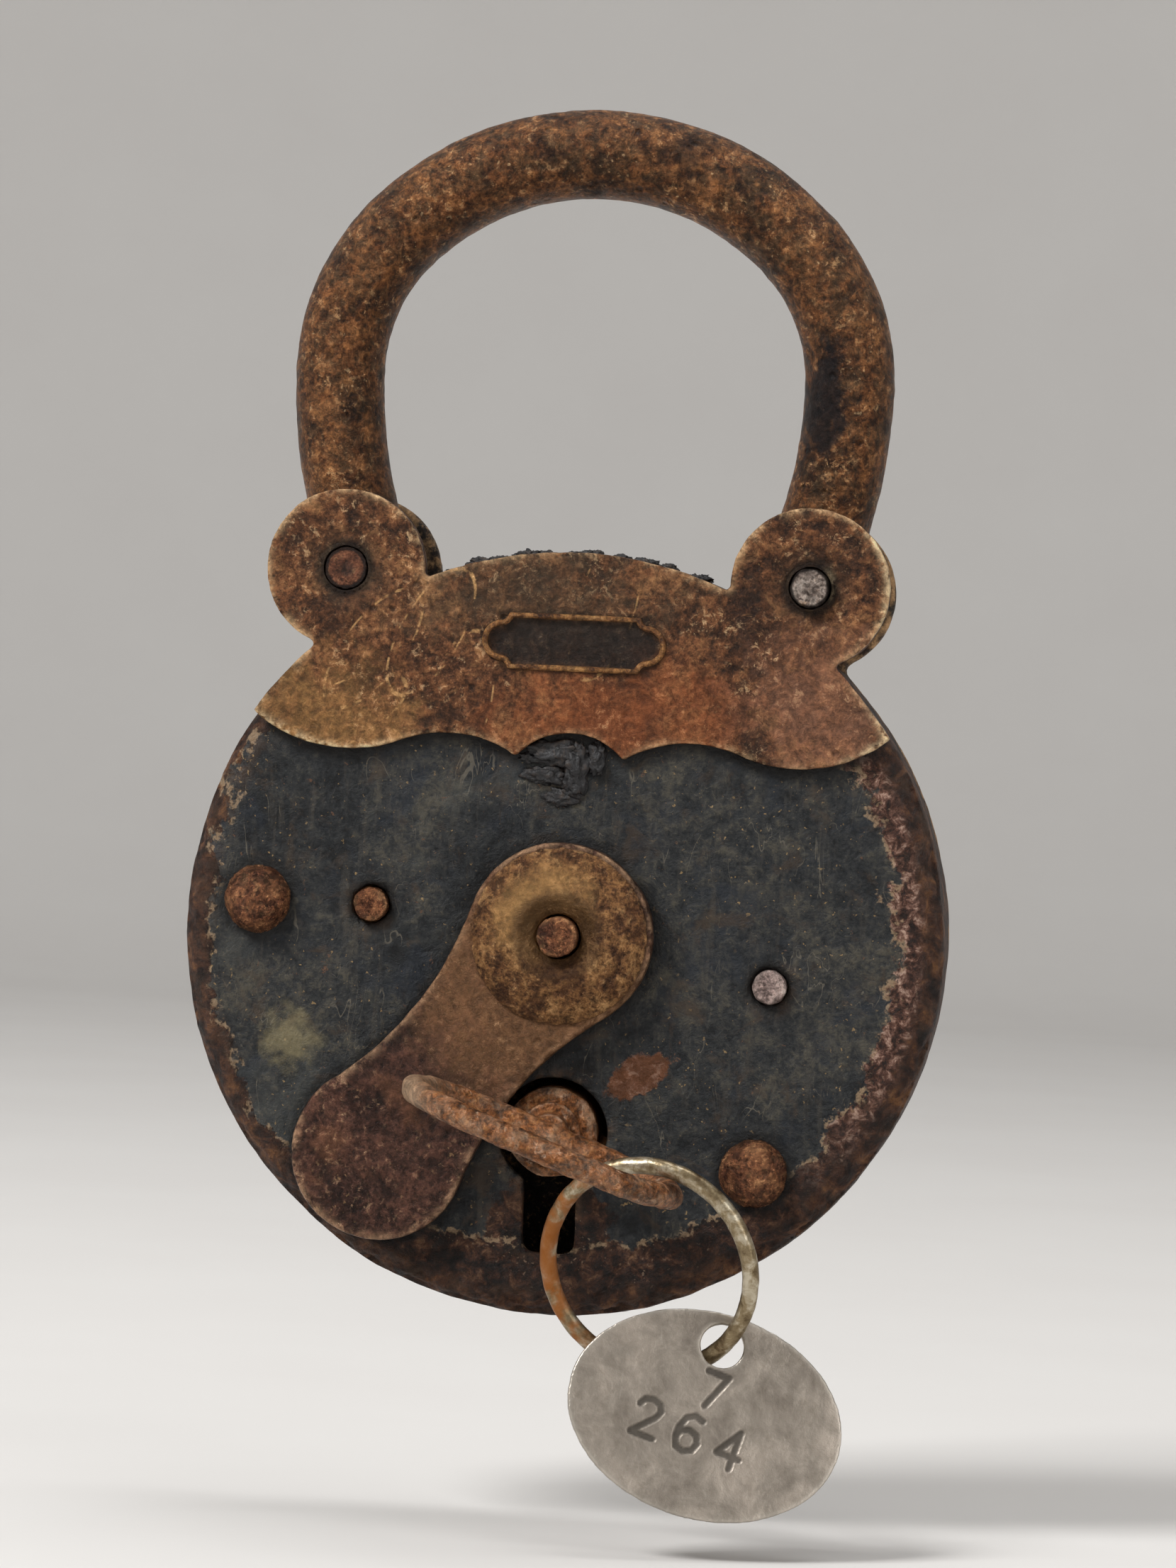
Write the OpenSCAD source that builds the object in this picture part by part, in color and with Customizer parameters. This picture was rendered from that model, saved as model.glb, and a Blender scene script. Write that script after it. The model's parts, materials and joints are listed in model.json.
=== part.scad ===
/* [Case] */
// Diameter of the round case
case_d = 80; // [72:0.5:100]
// Thickness of the case, back face to front face
case_t = 15; // [14:0.25:22]
// Thickness of the front shell's face and side wall
sheet_t = 1.8; // [1.2:0.1:2.4]
// Thickness of the back plate
back_t = 1.8; // [1.2:0.1:2.4]
// Radius rolled onto the front rim
rim_r = 3; // [2.5:0.25:5]

/* [Ears] */
// Radius of each ear
ear_r = 8.4; // [7.8:0.1:10.5]
// Distance from the case's edge out to an ear's centre
ear_out = 4.5; // [3.5:0.1:6]
// Angle of each ear from the vertical
ear_angle = 33.1; // [30:0.1:38]

/* [Trim plate] */
// Thickness of the trim plate on the top of the face
trim_t = 1.2; // [0.8:0.1:2]
// How far the lobes' lowest point lies below the ears' centres
trim_drop = 18.9; // [17:0.1:21]
// Radius of each lower lobe
lobe_r = 15.4; // [14:0.1:17]
// How far each lobe's centre lies inside its ear's centre
lobe_inset = 0.8; // [0:0.1:2]
// Half width of the small central arch
arch_half_w = 5.6; // [4:0.1:7]
// Height of the central arch
arch_rise = 2.6; // [1:0.1:3.5]
// Height of the hollow between an arch point and a lobe
hollow_rise = 2.1; // [1:0.1:2.5]
// Length of the cartouche between its rounded ends
label_l = 15.6; // [10:0.2:18]
// Height of the cartouche
label_h = 5.9; // [4:0.1:7]
// Radius of the cartouche's end bulges
label_end_r = 2.1; // [1.5:0.1:2.4]
// Width of the cartouche's raised border
label_border = 0.55; // [0.4:0.05:0.8]
// Height of the border above the plate
label_rise = 0.3; // [0.2:0.05:0.6]
// Radius of the cartouche's bitten corners
label_bite_r = 0.9; // [0.6:0.05:1.1]
// How far the end bulges' centres lie inside the cartouche's ends
label_end_inset = 0.3; // [0:0.1:0.8]

/* [Shackle] */
// Diameter of the shackle's rod
rod_d = 9.5; // [7.5:0.1:10]
// How far the bow flares out past the ears at its widest
bow_flare = 2.7; // [1.5:0.1:4]
// Height of the widest point above the ears' centres
leg_rise = 21.4; // [18:0.1:28]
// Height of the crown's centreline above the widest point
crown_rise = 23.6; // [22:0.1:30]
// Radius of the bow's two shoulders
shoulder_r = 21; // [17:0.1:22]
// Height above the ears' centres at which the round legs end
leg_end_rise = 7.2; // [6:0.1:8]
// How far the legs' lower ends stand out from the ears' centres
leg_end_flare = 0.8; // [0:0.1:1.2]
// Height above the ears' centres at which the legs end inside the eye and the toe
leg_foot_rise = 2; // [1:0.1:3]
// Radius of the hinge eye and of the toe's head
eye_r = 6.9; // [6:0.1:7.4]
// Diameter of the hinge pin
hinge_pin_d = 4.6; // [3.6:0.1:5.5]
// How far the hinge pin's end lies below the trim plate's face
hinge_pin_sunk = 0.2; // [0:0.05:0.5]
// Diameter of the right-hand ear rivet
toe_rivet_d = 4.2; // [3.4:0.1:5]
// Gap on each side of the ear rivet in the toe's slot
toe_slot_gap = 0.5; // [0.3:0.05:1]
// Width of the toe's inner prong
prong_w = 4.4; // [3.8:0.1:5.5]
// How far the inner prong reaches below the ears' centres
prong_drop = 11.3; // [10.5:0.1:13]
// Depth of the locking notch in the prong
notch_depth = 2.4; // [1.5:0.1:2.8]
// Height of the locking notch
notch_h = 3.6; // [3:0.1:4.5]
// Distance of the notch's middle below the ears' centres
notch_drop = 7.3; // [6.8:0.1:7.6]

/* [Face rivets] */
// Radius of the domed case rivets
dome_r = 3.75; // [3:0.05:4.5]
// Height of the domes
dome_h = 2.7; // [1.5:0.1:3]
// Radius of the rivets' shanks
dome_shank_r = 1.7; // [1.2:0.1:2.2]
// Left dome's position
dome_left = [-32.1, 2.3];
// Lower right dome's position
dome_right = [21.2, -23.7];
// Radius of the two lock posts
post_r = 1.85; // [1.4:0.05:2.2]
// How far the posts' ends stand out of the face
post_proud = 1; // [0.4:0.1:1.6]
// Position of the levers' post
lever_post_at = [-20.1, 2.3];
// Position of the catch's post
catch_post_at = [22, -4.3];

/* [Keyhole and cover] */
// Keyhole centre's distance below the case's centre
key_drop = 20.5; // [19:0.1:22]
// Gap round the key's barrel in the keyhole
keyhole_gap = 0.8; // [0.5:0.05:1.2]
// Gap on each side of the key's bit in the keyhole's slot
slot_gap = 1.1; // [0.8:0.05:1.4]
// Gap past the end of the key's bit in the keyhole's slot
slot_end_gap = 0.3; // [0.25:0.05:0.5]
// Thickness of the keyhole cover
cover_t = 2.2; // [1.6:0.1:3]
// Gap between the face and the cover
cover_gap = 0.3; // [0.25:0.05:0.5]
// Distance from the cover's pivot to its round end's centre
cover_l = 29.5; // [27:0.1:30]
// Radius of the cover's pivot end
cover_top_r = 9.8; // [9.6:0.1:10.6]
// Radius of the cover's lower end
cover_end_r = 9.2; // [8:0.1:9.6]
// Radius of the cover's hollowed flanks
cover_waist_r = 35; // [28:0.5:45]
// Gap between the cover's flank and the key it leans on
cover_lean_gap = 0.35; // [0.25:0.05:0.6]
// Radius of the domed washer on the cover
boss_r = 9.6; // [8:0.1:9.6]
// Height of the domed washer
boss_h = 2.6; // [1.8:0.1:3.2]
// Diameter of the cover's rivet
cover_rivet_d = 4.4; // [3.4:0.1:5]
// Depth left under the washer's dished middle
dish_floor = 1.2; // [0.8:0.1:1.6]
// Width of the flat floor of the dish round the rivet
dish_flat = 0.4; // [0.2:0.1:0.8]
// Width of the dish round the rivet at the washer's top
dish_w = 3; // [2:0.1:3.6]
// Width of the rivet's head behind the face
rivet_head_w = 1.4; // [0.8:0.1:2]
// Thickness of the rivet's head behind the face
rivet_head_h = 1; // [0.6:0.1:1.4]
// How far the rivet stands out of the washer's dished middle
cover_rivet_proud = 1.4; // [0.5:0.1:2]

/* [Key] */
// Diameter of the key's barrel
barrel_d = 9.6; // [8:0.1:10.4]
// Radius of the drill pin inside the barrel
drill_r = 1.6; // [1.2:0.1:2]
// How far the drill pin ends below the front wall
drill_short = 1.5; // [1:0.1:3]
// Gap past the drill pin's end inside the barrel
drill_end_gap = 0.5; // [0.3:0.1:0.8]
// Reach of the bit from the key's axis
bit_reach = 12.3; // [11:0.1:12.6]
// Thickness of the bit
bit_t = 3; // [2:0.1:3.6]
// Angle the key is turned past the slot
key_turned = 70; // [60:1:75]
// Length of the bow, outside to outside
bow_l = 31.2; // [26:0.2:34]
// Depth of the bow, outside to outside
bow_depth = 21; // [18:0.5:24]
// Diameter of the bow's wire
bow_wire_d = 2.8; // [2.4:0.1:3.6]
// How far the bow sits off the key's axis
bow_shift = 0.4; // [0:0.1:2]
// Height of the neck between the face and the bow
neck_h = 3.2; // [2.5:0.1:6]
// Diameter of the neck
neck_d = 4.4; // [3.5:0.1:6]
// How far the barrel stands out of the face
barrel_proud = 0.4; // [0.2:0.1:0.6]
// Height of the bevel on the barrel's end
barrel_bevel_h = 0.5; // [0.3:0.1:0.8]
// Width of the bevel on the barrel's end
barrel_bevel_w = 0.7; // [0.4:0.1:1]
// Height of the barrel's inner step above the face
barrel_step_h = 1.5; // [1.2:0.1:1.8]
// Width of the ledge round the barrel's inner step
barrel_ledge = 1.6; // [1:0.1:2]

/* [Ring and tag] */
// Outside diameter of the key ring
ring_d = 23.6; // [20:0.2:28]
// Diameter of the ring's wire
ring_wire_d = 1.8; // [1.4:0.1:2.2]
// Looseness of the ring on the bow
ring_play = 1; // [0.9:0.1:1.6]
// Angle by which the ring leans to the left under the tag's weight
ring_lean = 14; // [5:0.5:20]
// Tilt of the ring out of the face's plane
ring_tilt = 20; // [18:1:26]
// Place of the tag on the ring, from the ring's lowest point
tag_place = 46; // [30:1:50]
// Width of the oval tag
tag_w = 28.6; // [24:0.2:34]
// Height of the oval tag
tag_h = 21.2; // [18:0.2:25]
// Thickness of the tag
tag_t = 0.8; // [0.6:0.05:1]
// Looseness of the ring in the tag's hole
tag_play = 2.6; // [2.4:0.1:3.2]
// Metal left between the hole and the tag's edge
tag_bridge = 1.1; // [0.8:0.1:2]
// Lean of the tag in its own plane
tag_lean = 12; // [8:1:25]

/* [Lock works] */
// Thickness of the locking catch
catch_t = 4; // [3:0.1:4.5]
// Thickness of each lever
lever_t = 1.2; // [0.8:0.1:1.3]
// Radius of the stump on the catch
stump_r = 1.3; // [1:0.05:1.6]
// How far the stump sits inside the levers' gates
stump_depth = 0.6; // [0.3:0.05:0.8]
// Height of the stump along the catch's arm, above the catch's post
stump_rise = 12.3; // [11:0.1:13]
// Width of a lever's long bar
lever_w = 7; // [6:0.1:8]
// Width of a lever's foot
foot_w = 3.4; // [2.6:0.1:3.6]
// Wall round the catch's post
catch_hub_wall = 2.4; // [1.6:0.1:3]
// Width of the catch's arms
catch_arm_w = 4; // [3:0.1:4.5]
// How far the key draws the catch's nose back
catch_throw = 3.95; // [3.6:0.05:4.2]
// How much lower the catch's nose is than the locking notch
nose_play_h = 1.6; // [1.2:0.1:2]
// How far the nose lies below the notch's middle while it is drawn back
nose_sag = 0.45; // [0.3:0.05:0.6]
// Gap left past the nose in the notch
nose_tip_gap = 0.45; // [0.3:0.05:0.8]
// How far the catch's upright arm stands from the prong
catch_back = 7.2; // [6.6:0.1:8]
// How far the catch's elbow lies below the notch
catch_elbow_drop = 8; // [7:0.1:9]
// Wall round the levers' post
lever_hub_wall = 2.8; // [2:0.1:3.2]
// How much smaller the spacer under the levers is than their hubs
spacer_inset = 1; // [0.5:0.1:1.5]
// Depth of the gate in a lever's end
gate_depth = 1.2; // [0.8:0.1:1.6]
// How far along the key's line the levers' feet reach
foot_out = 10; // [9:0.1:10.5]
// Radius of the spring studs
spring_stud_r = 1.3; // [1:0.05:1.6]
// Position of the lever springs' stud
lever_spring_stud_at = [-1, 18];
// How far to the left of and below the catch's elbow its spring's stud stands
catch_spring_stud_from_elbow = [6.5, 8];
// Height above the catch's elbow at which its spring bears
catch_spring_bear = 3; // [2:0.1:4]
// Distance from the levers' post to the foot of a lever's spring
lever_spring_from_post = 6; // [5.5:0.1:7]
// Length of a lever's spring before its bend
lever_spring_flat = 4; // [3:0.1:5]
// How far right of the stud's middle a lever's spring bears
lever_spring_tip_in = 0.5; // [0:0.1:1]
// Gap between a lever's faces and its spring's edges
lever_spring_inset = 0.1; // [0.05:0.01:0.15]
// Height of one step on the end of the key's bit
bit_step = 0.5; // [0.3:0.1:0.8]
// Thickness of the leaf springs
spring_t = 0.5; // [0.3:0.05:0.7]
// Gap between faces that move past each other
play = 0.3; // [0.25:0.05:0.4]
// Radial running clearance of a pin in its hole
running = 0.06; // [0.03:0.01:0.09]

/* [Hidden] */

eps = 0.01;
weld_l = 0.1;                  // how far the rod's stretches run into each other
weld_swell = 0.06;             // how far the ball at a weld stands out of the rod
inner_rim_min = 0.4;           // least radius inside the rolled rim
bite_over = 0.05;              // how far a bite runs into the arcs that it joins
dish_over = 0.1;               // how far the dish's cut runs past the washer's top
tail_turn = 0.7;               // angle between the key's line and the catch's tail
lean_turn = 1;                 // extra swing that keeps the cover's flank off the key
past = 1;                      // how far a cutting shape runs past what it cuts
$fn = 64;

// Places on the face: x to the right, y up, z out of the face from the back of the case.
case_r = case_d / 2;
face_z = case_t;
inner_back_z = back_t;
inner_front_z = case_t - sheet_t;
ear_x = (case_r + ear_out) * sin(ear_angle);
ear_y = (case_r + ear_out) * cos(ear_angle);
rod_z = (inner_back_z + inner_front_z) / 2;
key_at = [0, -key_drop];
pivot_at = [0, 0];

// Shackle's centreline: crown arc, shoulder arcs and legs, each tangent to the next.
bow_half_w = ear_x + bow_flare;
widest_y = ear_y + leg_rise;
crown_turn = 2 * atan((crown_rise - shoulder_r) / (bow_half_w - shoulder_r));
crown_r = shoulder_r + (bow_half_w - shoulder_r) / sin(crown_turn);
crown_centre_y = widest_y + crown_rise - crown_r;
leg_in = bow_flare - leg_end_flare;
leg_drop = leg_rise - leg_end_rise;
leg_turn = 2 * atan(leg_in / leg_drop);
leg_r = leg_drop / sin(leg_turn);

// The toe travels on a circle about the hinge pin, so its edges are arcs about that pin.
toe_path_r = 2 * ear_x;
toe_slot_half = toe_rivet_d / 2 + toe_slot_gap;
prong_outer_r = toe_path_r - toe_slot_half;
prong_inner_r = prong_outer_r - prong_w;
toe_way_room = 2;              // free height under the prong's end in the side wall
toe_way_w = 12;                // wider than the toe on the side it is cut on
toe_way_h = 20;                // taller than the toe is long
notch_back = 3;                // how far the notch's cut starts outside the prong
pocket_r = eye_r + play;
notch_y = ear_y - notch_drop;
notch_x = -ear_x + sqrt(pow(prong_inner_r, 2) - pow(notch_drop, 2));

// Cover: it leans on the key's barrel, which sets how far it is swung aside.
cover_waist_m = (pow(cover_waist_r + cover_top_r, 2) - pow(cover_waist_r + cover_end_r, 2)
                 + pow(cover_l, 2)) / (2 * cover_l);
cover_waist_c = sqrt(pow(cover_waist_r + cover_top_r, 2) - pow(cover_waist_m, 2));
cover_waist_half = cover_waist_c - cover_waist_r;
cover_swing = asin((cover_waist_half + barrel_d / 2 + cover_lean_gap) / key_drop) + lean_turn;
cover_z = face_z + cover_gap;
boss_z = cover_z + cover_t;

// Key: the bit and the bow lie on one line, turned from the slot.
key_line = key_turned - 90;
bit_low_z = inner_back_z + play;
drill_top_z = inner_front_z - drill_short;
bow_line_r = (bow_depth - bow_wire_d) / 2;
bow_straight = bow_l - bow_depth;
bow_mid_z = face_z + neck_h + bow_depth / 2;
bow_end_at = key_at + (bow_shift + (bow_l - bow_wire_d) / 2) * [cos(key_line), sin(key_line)];

// Ring: it hangs on the bow's right-hand end, and the tag hangs in it.
ring_line_r = (ring_d - ring_wire_d) / 2;
ring_hang = ring_line_r - (ring_wire_d + bow_wire_d) / 2 - ring_play;
ring_at = bow_end_at + ring_hang * [-sin(ring_lean), -cos(ring_lean)];
tag_radial = [sin(tag_place), -cos(tag_place), 0];
tag_hole_r = (ring_wire_d + tag_play) / 2;
tag_hole_drop = tag_h / 2 - tag_bridge - tag_hole_r;

// Catch: its nose lies clear of the notch while the key is turned.
catch_z = inner_back_z + play;
catch_top_z = catch_z + catch_t;
catch_hub_r = post_r + catch_hub_wall;
nose_h = notch_h - nose_play_h;
nose_y = notch_y - nose_sag;   // the nose rises as it swings into the notch
nose_tip_x = notch_x + notch_depth - nose_tip_gap - catch_throw;
catch_elbow = [notch_x - catch_back, notch_y - catch_elbow_drop];
catch_top = [notch_x - catch_back, nose_y];
tail_line = [cos(key_line - tail_turn), sin(key_line - tail_turn)];
catch_tail = key_at + (bit_reach + play + catch_arm_w / 2) * tail_line;
arm_run = (catch_elbow - catch_post_at) / norm(catch_elbow - catch_post_at);
stump_at = catch_post_at + stump_rise / arm_run[1] * arm_run;

// Levers: stacked above the catch, each with a foot on the bit and a gate for the stump.
lever_z = [for (i = [0:2]) catch_top_z + play + i * (lever_t + play)];
lever_stack_top = lever_z[2] + lever_t;
lever_hub_r = post_r + lever_hub_wall;
lever_end = [stump_at[0] - stump_r + stump_depth, stump_at[1]];
gate_half = stump_r + play;
foot_at = key_at + [foot_out, (foot_w / 2 + bit_t / 2 + play + foot_out * sin(key_line))
                              / cos(key_line)];
catch_spring_stud_at = catch_elbow - catch_spring_stud_from_elbow;
catch_spring_foot = catch_spring_stud_at + [spring_stud_r + spring_t / 2, 0];
catch_spring_tip = catch_elbow + [-catch_arm_w / 2 - spring_t / 2 - play, catch_spring_bear];
lever_bar_end = lever_end - [lever_w / 2, 0];
lever_bar_run = (lever_bar_end - lever_post_at) / norm(lever_bar_end - lever_post_at);
lever_bar_up = [-lever_bar_run[1], lever_bar_run[0]];
lever_spring_foot = lever_post_at + lever_spring_from_post * lever_bar_run
                    + (lever_w / 2 + spring_t / 2) * lever_bar_up;
lever_spring_bend = lever_spring_foot + lever_spring_flat * lever_bar_run;
lever_spring_tip = lever_spring_stud_at + [lever_spring_tip_in, -spring_stud_r - spring_t / 2 - play];
bit_high_z = lever_stack_top + play;

// Trim plate: each hollow is an arc from the arch's point that runs smoothly into the lobe.
trim_low_y = ear_y - trim_drop;
lobe_x = ear_x - lobe_inset;
lobe_gap = lobe_x - arch_half_w;
hollow_half_w = (pow(lobe_gap, 2) - 2 * lobe_r * hollow_rise) / (2 * lobe_gap);
hollow_x = arch_half_w + hollow_half_w;
hollow_r = arc_radius(hollow_half_w, hollow_rise);
lobe_join_x = hollow_x + (lobe_x - hollow_x) * hollow_r / (hollow_r + lobe_r);
label_y = (trim_low_y + arch_rise + case_r) / 2;

steel_rust = "#5a3a26";
rim_brown = "#5b3526";
bronze = "#8a5c34";
brass = "#a8843c";
grey_metal = "#9a958e";
spring_steel = "#4a4a50";

// Turns a drawing of the face (x right, y up, z out) into the upright lock.
module upright() {
    rotate([90, 0, 0]) children();
}

SIDES = [-1, 1];

// A flat strip of one width through a row of points, with round ends and elbows.
module strip(points, w) {
    for (point = points) translate(point) circle(d = w);
    for (i = [1:len(points) - 1]) let (run = points[i] - points[i - 1])
        translate(points[i - 1]) rotate(atan2(run[1], run[0])) translate([0, -w / 2])
            square([norm(run), w]);
}

module slab(low, high) {
    translate([0, 0, low]) linear_extrude(high - low) children();
}

module post(at, r, low, high) {
    translate([at[0], at[1], low]) cylinder(r = r, h = high - low);
}

module case_outline() {
    circle(case_r, $fn = 180);
    for (side = SIDES) translate([side * ear_x, ear_y]) circle(ear_r);
}

// Half section of a round box with one rolled rim.
module rim_section(r, h, corner) {
    square([r - corner, h]);
    square([r, h - corner]);
    translate([r - corner, h - corner]) circle(corner, $fn = 48);
}

module cup() {
    rotate_extrude($fn = 180) intersection() {
        square([case_r + past, face_z + past]);
        difference() {
            rim_section(case_r, face_z, rim_r);
            square([case_r - sheet_t, back_t]);
            translate([0, -past]) rim_section(case_r - sheet_t, inner_front_z + past,
                                              max(rim_r - sheet_t, inner_rim_min));
            translate([0, -past]) square([case_r + past, back_t + past]);
        }
    }
}

module keyhole() {
    translate(key_at) circle(barrel_d / 2 + keyhole_gap);
    translate(key_at - [bit_t / 2 + slot_gap, bit_reach + slot_end_gap])
        square([bit_t + 2 * slot_gap, bit_reach]);
}

// Space that the toe's prongs need where they enter the side wall.
module toe_way() {
    intersection() {
        translate([-ear_x, ear_y]) difference() {
            circle(prong_outer_r + play, $fn = 180);
            circle(prong_inner_r - play, $fn = 180);
        }
        translate([0, ear_y - prong_drop - toe_way_room]) square([ear_x, toe_way_h]);
    }
}

module front_shell() {
    color(rim_brown) upright() difference() {
        union() {
            difference() {
                cup();
                slab(inner_back_z, inner_front_z) {
                    for (side = SIDES) translate([side * ear_x, ear_y]) circle(pocket_r);
                    toe_way();
                }
            }
            slab(inner_front_z, face_z) difference() {
                for (side = SIDES) translate([side * ear_x, ear_y]) circle(ear_r);
                circle(case_r - rim_r - past, $fn = 180);
            }
        }
        slab(inner_front_z - past, face_z + past) keyhole();
        post([-ear_x, ear_y], hinge_pin_d / 2, 0, face_z + past);
        post([ear_x, ear_y], toe_rivet_d / 2, 0, face_z + past);
        post(pivot_at, cover_rivet_d / 2, 0, face_z + past);
        post(lever_post_at, post_r, 0, face_z + past);
        post(catch_post_at, post_r, 0, face_z + past);
        post(dome_left, dome_shank_r, 0, face_z + past);
        post(dome_right, dome_shank_r, 0, face_z + past);
    }
}

module back_plate() {
    color(rim_brown) upright() difference() {
        slab(0, back_t) case_outline();
        post([-ear_x, ear_y], hinge_pin_d / 2, -past, back_t + past);
        post([ear_x, ear_y], toe_rivet_d / 2, -past, back_t + past);
        post(lever_post_at, post_r, -past, back_t + past);
        post(catch_post_at, post_r, -past, back_t + past);
        post(dome_left, dome_shank_r, -past, back_t + past);
        post(dome_right, dome_shank_r, -past, back_t + past);
        post(key_at, drill_r, -past, back_t + past);
        post(lever_spring_stud_at, spring_stud_r, -past, back_t + past);
        post(catch_spring_stud_at, spring_stud_r, -past, back_t + past);
    }
}

function arc_radius(half_chord, rise) = (pow(half_chord, 2) + pow(rise, 2)) / (2 * rise);

// A round bite out of the plate's lower edge.
module bite(x, half_w, rise) {
    r = arc_radius(half_w, rise);
    translate([x, trim_low_y + rise - r]) circle(r + bite_over, $fn = 120);
}

module trim_outline() {
    difference() {
        intersection() {
            case_outline();
            union() {
                translate([-lobe_join_x, trim_low_y]) square([2 * lobe_join_x, case_r]);
                translate([-case_d, trim_low_y + lobe_r / 2]) square([2 * case_d, case_r]);
                for (side = SIDES) translate([side * lobe_x, trim_low_y + lobe_r])
                    circle(lobe_r, $fn = 120);
            }
        }
        bite(0, arch_half_w, arch_rise);
        for (side = SIDES) bite(side * hollow_x, hollow_half_w, hollow_rise);
    }
}

// Cartouche: a rectangle with bitten corners and a round bulge at each end.
module label_outline(inset) {
    difference() {
        translate([-label_l / 2 + inset, -label_h / 2 + inset])
            square([label_l - 2 * inset, label_h - 2 * inset]);
        for (side = SIDES, end = SIDES) translate([side * label_l / 2, end * label_h / 2])
            circle(label_bite_r + inset);
    }
    for (side = SIDES) translate([side * (label_l / 2 - label_end_inset), 0])
        circle(label_end_r - inset);
}

module top_trim() {
    color(bronze) upright() difference() {
        union() {
            slab(face_z, face_z + trim_t) trim_outline();
            translate([0, label_y, 0]) slab(face_z + trim_t - eps, face_z + trim_t + label_rise)
                difference() {
                    label_outline(0);
                    label_outline(label_border);
                }
        }
        post([-ear_x, ear_y], hinge_pin_d / 2, 0, face_z + trim_t + past);
        post([ear_x, ear_y], toe_rivet_d / 2, 0, face_z + trim_t + past);
    }
}

// An arc of the shackle's rod about a centre, from one angle to another, and a ball at its
// far end that welds it to the next stretch.
module rod_arc(centre, r, from, to) {
    overlap = weld_l / r * 180 / PI;
    translate([centre[0], centre[1], rod_z]) {
        rotate(from - overlap) rotate_extrude(angle = to - from + 2 * overlap, $fn = 120)
            translate([r, 0]) circle(d = rod_d, $fn = 48);
        rotate(to) translate([r, 0]) sphere(d = rod_d + 2 * weld_swell, $fn = 48);
    }
}

// The straight end of a leg, running down into its eye or head.
module leg_end(side, length) {
    translate([side * (ear_x + leg_end_flare), ear_y + leg_end_rise, rod_z])
        rotate(-side * leg_turn) {
            sphere(d = rod_d + 2 * weld_swell, $fn = 48);
            rotate([90, 0, 0]) translate([0, 0, -weld_l])
                cylinder(d = rod_d, h = length + weld_l, $fn = 48);
        }
}

module shackle() {
    low = rod_z - rod_d / 2;
    high = rod_z + rod_d / 2;
    color(steel_rust) upright() difference() {
        union() {
            rod_arc([0, crown_centre_y], crown_r, 90 - crown_turn, 90 + crown_turn);
            rod_arc([bow_half_w - shoulder_r, widest_y], shoulder_r, 0, 90 - crown_turn);
            rod_arc([shoulder_r - bow_half_w, widest_y], shoulder_r, 90 + crown_turn, 180);
            rod_arc([bow_half_w - leg_r, widest_y], leg_r, -leg_turn, 0);
            rod_arc([leg_r - bow_half_w, widest_y], leg_r, 180, 180 + leg_turn);
            for (side = SIDES) leg_end(side, leg_end_rise - leg_foot_rise);
            slab(low, high) {
                translate([-ear_x, ear_y]) circle(eye_r);
                toe_outline();
            }
        }
        post([-ear_x, ear_y], hinge_pin_d / 2 + running, low - past, high + past);
        slab(low - past, high + past) toe_slot();
        slab(0, inner_back_z + play) case_outline();
        slab(inner_front_z - play, face_z) case_outline();
    }
}

// Toe: a round head that runs down into the inner prong, with the locking notch.
module toe_outline() {
    translate([ear_x, ear_y]) intersection() {
        circle(eye_r);
        translate([-eye_r, leg_foot_rise - eye_r]) square([2 * eye_r, 2 * eye_r]);
    }
    difference() {
        intersection() {
            translate([-ear_x, ear_y]) difference() {
                circle(prong_outer_r + past, $fn = 180);
                circle(prong_inner_r, $fn = 180);
            }
            translate([ear_x - toe_way_w, ear_y - prong_drop]) square([toe_way_w, prong_drop]);
        }
        translate([notch_x - notch_back, notch_y - notch_h / 2])
            square([notch_back + notch_depth, notch_h]);
    }
}

module toe_slot() {
    intersection() {
        translate([-ear_x, ear_y]) difference() {
            circle(toe_path_r + toe_slot_half, $fn = 180);
            circle(toe_path_r - toe_slot_half, $fn = 180);
        }
        translate([ear_x - toe_way_w, ear_y - toe_way_h])
            square([2 * toe_way_w, toe_way_h]);
    }
    translate([ear_x, ear_y]) circle(toe_slot_half);
}

module shackle_pin() {
    color(bronze) upright()
        post([-ear_x, ear_y], hinge_pin_d / 2, 0, face_z + trim_t - hinge_pin_sunk);
}

module toe_rivet() {
    color(grey_metal) upright()
        post([ear_x, ear_y], toe_rivet_d / 2, 0, face_z + trim_t + post_proud);
}

// A rivet with a domed head on the face, its shank flush with the back.
module dome_rivet(at) {
    cap_r = arc_radius(dome_r, dome_h);
    post(at, dome_shank_r, 0, face_z + eps);
    translate([at[0], at[1], face_z]) rotate_extrude() intersection() {
        translate([0, dome_h - cap_r]) circle(cap_r);
        square([dome_r, dome_h]);
    }
}

module case_rivet_left() {
    color(rim_brown) upright() dome_rivet(dome_left);
}

module case_rivet_right() {
    color(rim_brown) upright() dome_rivet(dome_right);
}

module lever_post() {
    color(rim_brown) upright() post(lever_post_at, post_r, 0, face_z + post_proud);
}

module catch_post() {
    color(grey_metal) upright() post(catch_post_at, post_r, 0, face_z + post_proud);
}

module drill_pin() {
    color(brass) upright() post(key_at, drill_r, 0, drill_top_z);
}

module cover_rivet() {
    color(steel_rust) upright() {
        post(pivot_at, cover_rivet_d / 2, inner_front_z - rivet_head_h,
             boss_z + dish_floor + cover_rivet_proud);
        post(pivot_at, cover_rivet_d / 2 + rivet_head_w, inner_front_z - rivet_head_h, inner_front_z);
    }
}

// Points along an arc, both ends included.
function arc(centre, r, from, to, steps = 24) =
    [for (i = [0:steps]) let (a = from + (to - from) * i / steps) centre + r * [cos(a), sin(a)]];

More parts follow.
